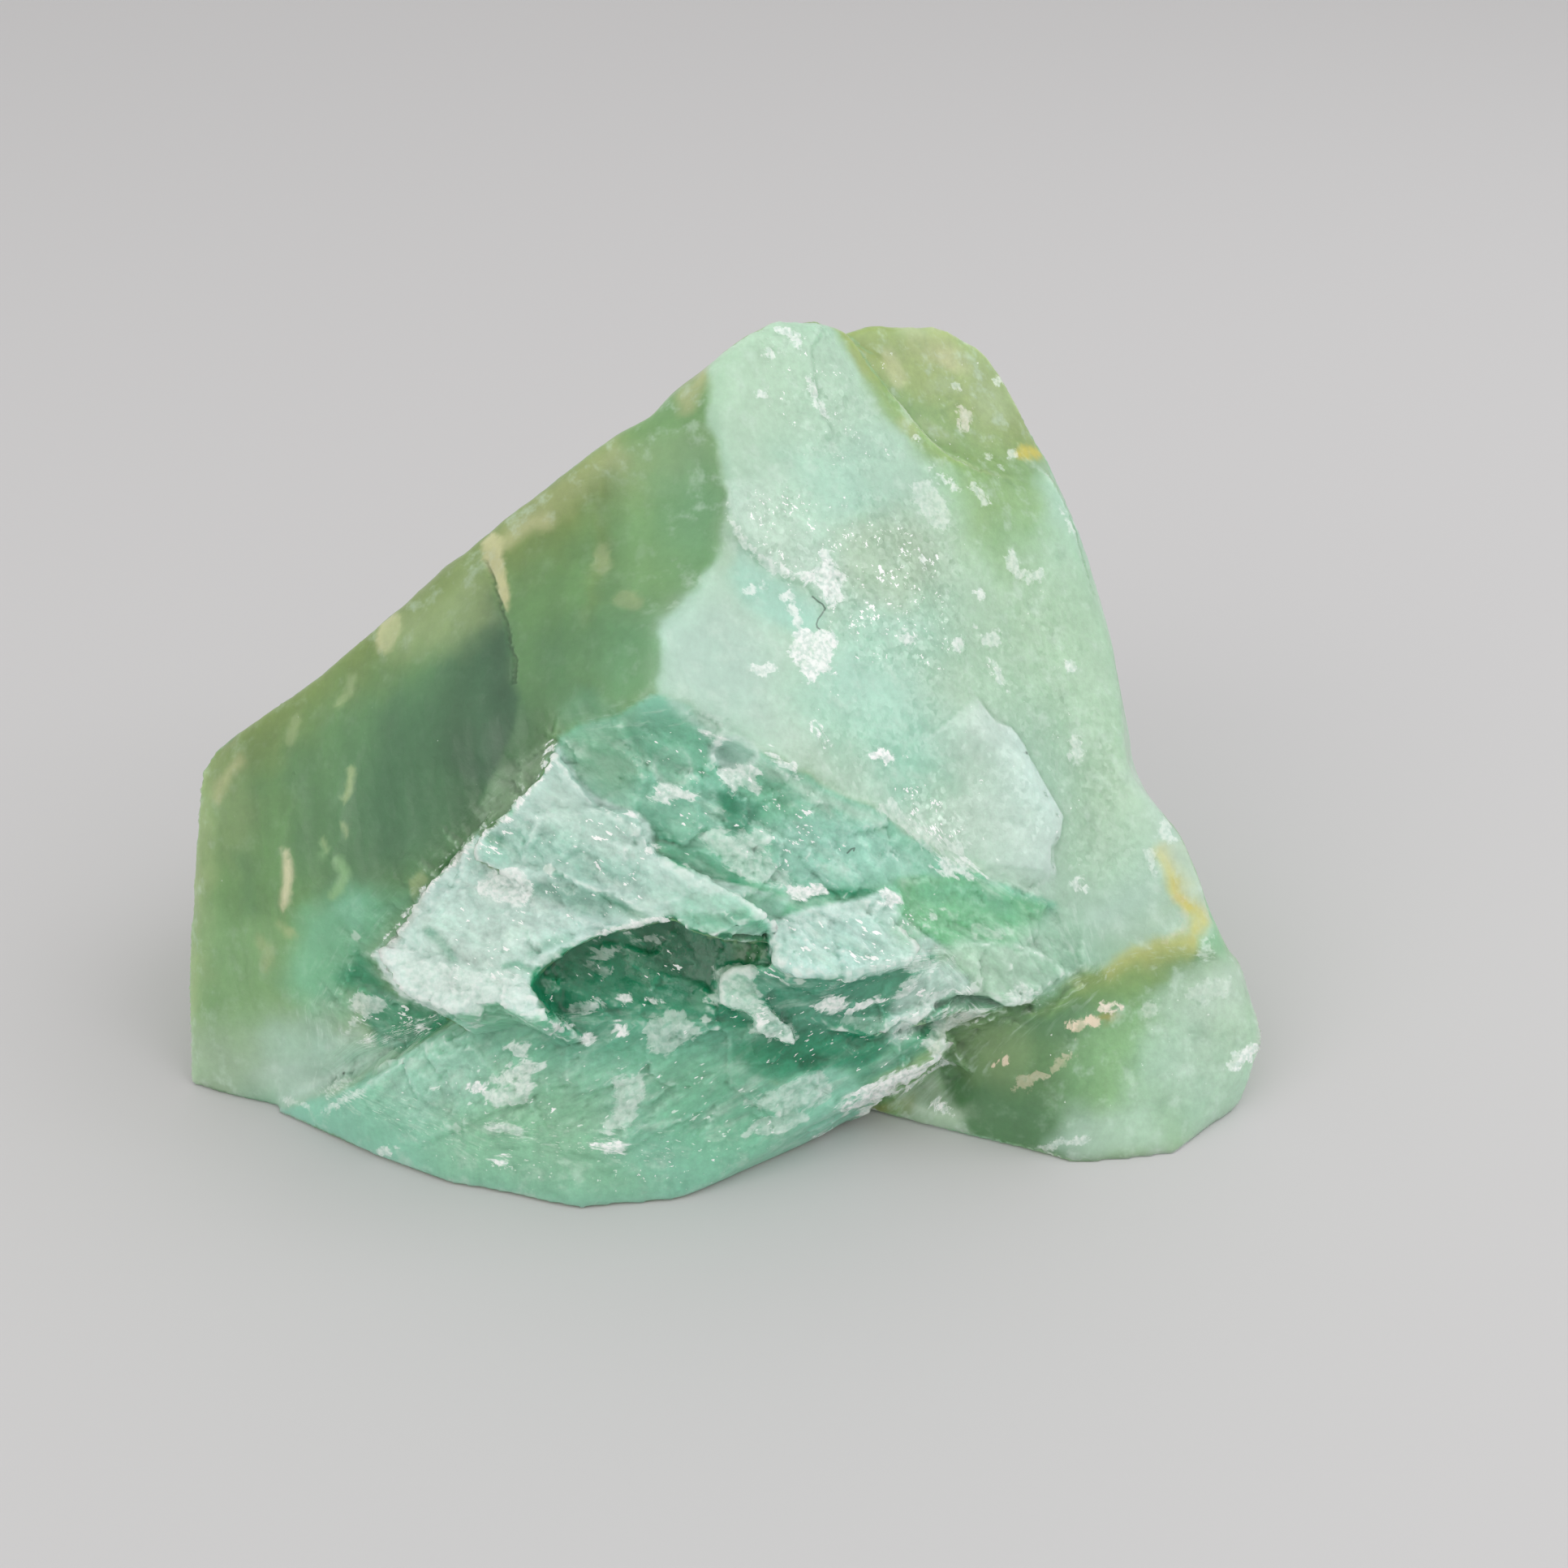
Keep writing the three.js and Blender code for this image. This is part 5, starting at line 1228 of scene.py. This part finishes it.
def berylMaterial():
    material = bpy.data.materials.new("milkyBeryl")
    material.use_nodes = True
    tree = material.node_tree
    tree.nodes.clear()
    add = partial(addNode, tree)
    look, ramps = berylLook, berylLook["ramps"]
    smooth = {"interpolation_type": "SMOOTHSTEP"}
    marks = {name: add("ShaderNodeAttribute", attribute_name=name)["Fac"]
             for name in ("patch", "white", "warm", "glint", "fleck", "rib", "crack", "splinter", "lay")}
    colour = add("ShaderNodeAttribute", attribute_name="tint")["Color"]
    at = add("ShaderNodeTexCoord")["Object"]
    at = add(vectorKind, {0: at, "Scale": 1 / mm}, operation="SCALE")[0]

    # the grain is drawn out along the way the splinters lie
    falling, rising = [drawnOut(tree, at, way, look["grainStretch"]) for way in (fallingWay, risingWay)]
    splinters = add(mixKind, {0: marks["lay"], 4: falling, 5: rising}, data_type="VECTOR")[1]
    share = add(mathKind, (marks["splinter"], 0.75, 0.15), operation="MULTIPLY_ADD")[0]
    grain = add(mixKind, {0: share, 4: at, 5: splinters}, data_type="VECTOR")[1]
    follows = {"stone": at, "splinters": splinters, "grain": grain}
    noise = {name: add("ShaderNodeTexNoise", {"Vector": follows[way], "Scale": 1 / size, "Detail": detail,
                                              "Roughness": roughness})["Fac"]
             for name, (size, detail, roughness, way) in look["noises"].items()}

    # milky wisps under the surface, fewer on the ribs and on what is dark
    wisps = add(rangeKind, (noise["wisps"], *ramps["wisps"]), **smooth)[0]
    offRibs = add(mathKind, (marks["rib"], -0.75, 1), operation="MULTIPLY_ADD")[0]
    wisps = add(mathKind, (wisps, offRibs), operation="MULTIPLY")[0]
    tone = add("ShaderNodeRGBToBW", (colour,))[0]
    onPale = add(rangeKind, (tone, *ramps["onPale"]), **smooth)[0]
    wispShare = add(mathKind, (wisps, onPale), operation="MULTIPLY")[0]
    depths = add(rangeKind, (noise["depths"], *ramps["depths"]), **smooth)[0]
    flecked = add(mathKind, (marks["fleck"], 0.1), operation="ADD", use_clamp=True)[0]
    depths = add(mathKind, (depths, flecked), operation="MULTIPLY")[0]
    for share, over, kind in ((wispShare, look["wisp"], "MIX"), (depths, look["depth"], "MULTIPLY")):
        colour = add(mixKind, {0: share, 6: colour, 7: toLinear(over)}, data_type="RGBA", blend_type=kind)[2]

    # fine mottling, with strands where the front is splintered
    busy = add(mathKind, (marks["fleck"], marks["glint"]), operation="MAXIMUM")[0]
    busy = add(mathKind, (busy, 0.4, 0.25), operation="MULTIPLY_ADD")[0]
    mottle = add(mathKind, (noise["mottle"], 0.5), operation="SUBTRACT")[0]
    mottle = add(mathKind, (mottle, busy), operation="MULTIPLY")[0]
    strands = add(mathKind, (noise["strands"], 0.5), operation="SUBTRACT")[0]
    onFront = add(mathKind, (marks["splinter"], 0.7), operation="MULTIPLY")[0]
    mottle = add(mathKind, (strands, onFront, mottle), operation="MULTIPLY_ADD")[0]
    brighter = add(mathKind, (mottle, 1), operation="ADD")[0]
    colour = add("ShaderNodeHueSaturation", {"Value": brighter, "Color": colour})[0]

    # small white flecks, and finer white specks that also lie among the glints, where they are painted glints
    limit = add(rangeKind, (marks["fleck"], *ramps["fleckLimit"]), **smooth)[0]
    flecks = add(mathKind, (noise["flecks"], limit), operation="SUBTRACT")[0]
    flecks = add(rangeKind, (flecks, *ramps["flecks"]), **smooth)[0]
    clumps = add(mathKind, (noise["specksAndGlintsClumps"], 0.5), operation="SUBTRACT")[0]
    specksAndGlints = add(mathKind, (clumps, 0.55, noise["specksAndGlints"]), operation="MULTIPLY_ADD")[0]
    common = add(mathKind, (marks["fleck"], 0.65), operation="MULTIPLY")[0]
    common = add(mathKind, (common, marks["glint"]), operation="MAXIMUM")[0]
    limit = add(rangeKind, (common, *ramps["specksAndGlintsLimit"]), **smooth)[0]
    specksAndGlints = add(mathKind, (specksAndGlints, limit), operation="SUBTRACT")[0]
    specksAndGlints = add(rangeKind, (specksAndGlints, *ramps["specksAndGlints"]), **smooth)[0]
    flecks = add(mathKind, (flecks, 0.6), operation="MULTIPLY")[0]
    flecks = add(mathKind, (flecks, specksAndGlints), operation="MAXIMUM")[0]

    # white patches with splintered edges and a sugary body
    block = add("ShaderNodeTexVoronoi", {"Vector": grain, "Scale": 1 / look["blockSize"]})["Color"]
    random = add("ShaderNodeSeparateColor", (block,))
    edgeBlocks, bodyBlocks = [add(mathKind, (random[i], 0.5), operation="SUBTRACT")[0] for i in (0, 1)]
    ragged = add(mathKind, (noise["ragged"], 0.5), operation="SUBTRACT")[0]
    ragged = add(mathKind, (ragged, 1.1, marks["patch"]), operation="MULTIPLY_ADD")[0]
    ragged = add(mathKind, (edgeBlocks, 0.26, ragged), operation="MULTIPLY_ADD")[0]
    inPatch = add(rangeKind, (ragged, *ramps["patch"]), **smooth)[0]
    body = add(mathKind, (bodyBlocks, 0.2, noise["body"]), operation="MULTIPLY_ADD")[0]
    body = add(rangeKind, (body, *ramps["body"]), **smooth)[0]
    for share in (marks["white"], body):
        inPatch = add(mathKind, (inPatch, share), operation="MULTIPLY")[0]
    sugar = toLinear(look["dullSugar"])
    sugary = add(rangeKind, (noise["sugar"], *ramps["sugar"]), **smooth)[0]
    for share, over in ((sugary, look["whiteSugar"]), (marks["warm"], palette["peach"])):
        sugar = add(mixKind, {0: share, 6: sugar, 7: toLinear(over)}, data_type="RGBA")[2]

    # edges are paler, partly from wear and partly as a painted highlight where they catch the light; hollows
    # are darker with painted shade
    pointed = add("ShaderNodeNewGeometry")["Pointiness"]
    wornSheen = add(rangeKind, (pointed, *ramps["wornSheen"]), **smooth)[0]
    wornSheen = add(mathKind, (wornSheen, marks["splinter"]), operation="MULTIPLY")[0]
    hollow = add(rangeKind, (pointed, *ramps["hollow"]), **smooth)[0]
    layers = [(flecks, toLinear(look["fleck"]), "MIX"), (inPatch, sugar, "MIX"),
              (wornSheen, toLinear(look["wornSheen"]), "MIX"), (hollow, toLinear(look["hollow"]), "MULTIPLY"),
              # cracks darken, and the gaps under overhangs carry painted shadow
              (marks["crack"], toLinear(look["crack"]), "MIX")]
    for fibre in dust.values():
        nearest, front = dustNear(add, at, fibre)
        share = add(rangeKind, (nearest, *ramps["dust"]), **smooth)[0]
        share = add(mathKind, (share, front), operation="MULTIPLY")[0]
        layers.append((share, toLinear(look["dust"]), "MIX"))
    for share, over, kind in layers:
        colour = add(mixKind, {0: share, 6: colour, 7: over}, data_type="RGBA", blend_type=kind)[2]

    # fine relief, rougher where the front is splintered
    unevenness = add(mathKind, (marks["splinter"], 0.04, 0.025), operation="MULTIPLY_ADD")[0]
    height = add(mathKind, (noise["uneven"], unevenness), operation="MULTIPLY")[0]
    normal = add("ShaderNodeBump", {"Strength": 0.8, "Distance": mm, "Height": height})[0]
    # tiny facets, each leaning its own way, catch the light
    facet = add("ShaderNodeTexVoronoi", {"Vector": at, "Scale": 1 / look["facetSize"]})["Color"]
    lean = add(vectorKind, (facet, (0.5, 0.5, 0.5)), operation="SUBTRACT")[0]
    dry = add(rangeKind, (marks["patch"], *ramps["dry"]), **smooth)[0]
    dry = add(mathKind, (dry, marks["white"]), operation="MULTIPLY")[0]
    sparkle = add(mathKind, (marks["glint"], 0.4), operation="MULTIPLY")[0]
    sparkle = add(mathKind, (dry, 0.35, sparkle), operation="MULTIPLY_ADD")[0]
    lean = add(vectorKind, {0: lean, "Scale": sparkle}, operation="SCALE")[0]
    normal = add(vectorKind, (normal, lean), operation="ADD")[0]
    normal = add(vectorKind, (normal,), operation="NORMALIZE")[0]

    # wisps and patches are duller, flecks and glints glossier
    rough = add(mathKind, (wisps, 0.2, look["roughness"]), operation="MULTIPLY_ADD")[0]
    rough = add(mathKind, (inPatch, 0.18, rough), operation="MULTIPLY_ADD")[0]
    glossy = add(mathKind, (specksAndGlints, marks["glint"]), operation="MAXIMUM")[0]
    rough = add(mathKind, (glossy, -0.16, rough), operation="MULTIPLY_ADD", use_clamp=True)[0]
    clear = add(mathKind, (inPatch, specksAndGlints), operation="MAXIMUM")[0]
    clear = add(rangeKind, (clear, *ramps["clear"]), **smooth)[0]
    shader = add("ShaderNodeBsdfPrincipled", {
        "Base Color": colour, "Roughness": rough, "IOR": look["ior"], "Normal": normal,
        "Subsurface Weight": clear, "Subsurface Radius": look["scatterColour"],
        "Subsurface Scale": look["scatter"] * mm,
    })[0]
    add("ShaderNodeOutputMaterial", {"Surface": shader})
    return material


def facesAway(mesh):
    return frontFacing(positionsOf(mesh), normalsOf(mesh)) < stoneShape["away"]


def thinOut(obj, chosen, wanted):
    # leaves about the wanted number of triangles among the chosen vertices
    corners = np.empty(len(obj.data.loops), int)
    obj.data.loops.foreach_get("vertex_index", corners)
    total = len(corners) - 2 * len(obj.data.polygons)
    there = int(total * chosen[corners].mean())
    group = obj.vertex_groups.new(name="spare")
    group.add(np.nonzero(chosen)[0].tolist(), 1.0, "REPLACE")
    fewer = obj.modifiers.new("fewer", "DECIMATE")
    fewer.ratio = min(1, (total - there + wanted) / total)
    fewer.vertex_group = "spare"
    bakeModifiers(obj)
    obj.vertex_groups.clear()
    print("triangles from", total, "with", there, "to thin, down to",
          sum(len(f.vertices) - 2 for f in obj.data.polygons))


beryl = berylMaterial()

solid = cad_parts["raw_aquamarine"].data.copy()
solid.materials.clear()
work = bmesh.new()
work.from_mesh(solid)
bmesh.ops.remove_doubles(work, verts=work.verts, dist=1e-7)
work.to_mesh(solid)
work.free()
stone = linkObject(bpy.data.objects.new("aquamarine_stone", solid))
remesh = stone.modifiers.new("remesh", "REMESH")
remesh.mode = "VOXEL"
remesh.voxel_size = stoneShape["voxel"] * mm
bakeModifiers(stone)
print("stone remeshed,", dropLoose(stone.data), "voids dropped,", len(stone.data.polygons), "faces")
markStone(stone.data)

surface = stone.modifiers.new("weathering", "NODES")
surface.node_group = reliefTree()
for item in surface.node_group.interface.items_tree:
    if item.name in stoneShape["relief"]:
        surface[item.identifier] = stoneShape["relief"][item.name]
bakeModifiers(stone)
print("stone weathered")

# fewer triangles where the stone is plain or turned away
thinOut(stone, facesAway(stone.data), stoneShape["backTriangles"])
busy = reach(viewPixels(positionsOf(stone.data)), splinterZone, 40) > -stoneShape["busyReach"]
thinOut(stone, ~busy & ~facesAway(stone.data), stoneShape["plainTriangles"])
for name in ("relief", "rounded"):
    stone.data.attributes.remove(stone.data.attributes[name])
inBox = np.clip(positionsOf(stone.data) * mm, cadBox[0], cadBox[1])
stone.data.vertices.foreach_set("co", inBox.ravel())
stone.data.shade_smooth()
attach(stone, "root")
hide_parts("raw_aquamarine")

# ---- the table, the light and the room
room = {
    "table": "#C8C8CA", "roughness": 0.6,
    "lamps": {
        "window": {"place": (260, -20, 300), "size": 300, "power": 0.4, "colour": "#FFFFFF"},
        "glint": {"place": (300, -80, 190), "size": 60, "power": 0.05, "colour": "#FFFFFF"},
        "bounce": {"place": (-240, -280, 200), "size": 320, "power": 0.45, "colour": "#FFFBF5"},
    },
    "air": "#F3F1EF", "airStrength": 0.87,
}
tableMesh = bpy.data.meshes.new("table")
tableMesh.from_pydata([(-3, -3, 0), (3, -3, 0), (3, 3, 0), (-3, 3, 0)], [], [(0, 1, 2, 3)])
table = linkObject(bpy.data.objects.new("table", tableMesh))
tableMaterial = bpy.data.materials.new("paleLaminate")
tableMaterial.use_nodes = True
tableShader = tableMaterial.node_tree.nodes["Principled BSDF"]
tableShader.inputs["Base Color"].default_value = toLinear(room["table"])
tableShader.inputs["Roughness"].default_value = room["roughness"]
tableMesh.materials.append(tableMaterial)
for name, lamp in room["lamps"].items():
    data = bpy.data.lights.new(name, "AREA")
    data.shape = "SQUARE"
    data.size = lamp["size"] * mm
    data.energy = lamp["power"]
    data.color = toLinear(lamp["colour"])[:3]
    light = linkObject(bpy.data.objects.new(name, data))
    light.location = Vector(lamp["place"]) * mm
    light.rotation_euler = (-light.location).to_track_quat("-Z", "Y").to_euler()
world = bpy.data.worlds.new("softRoom")
world.use_nodes = True
world.node_tree.nodes["Background"].inputs["Color"].default_value = toLinear(room["air"])
world.node_tree.nodes["Background"].inputs["Strength"].default_value = room["airStrength"]
bpy.context.scene.world = world
print("table and light set")
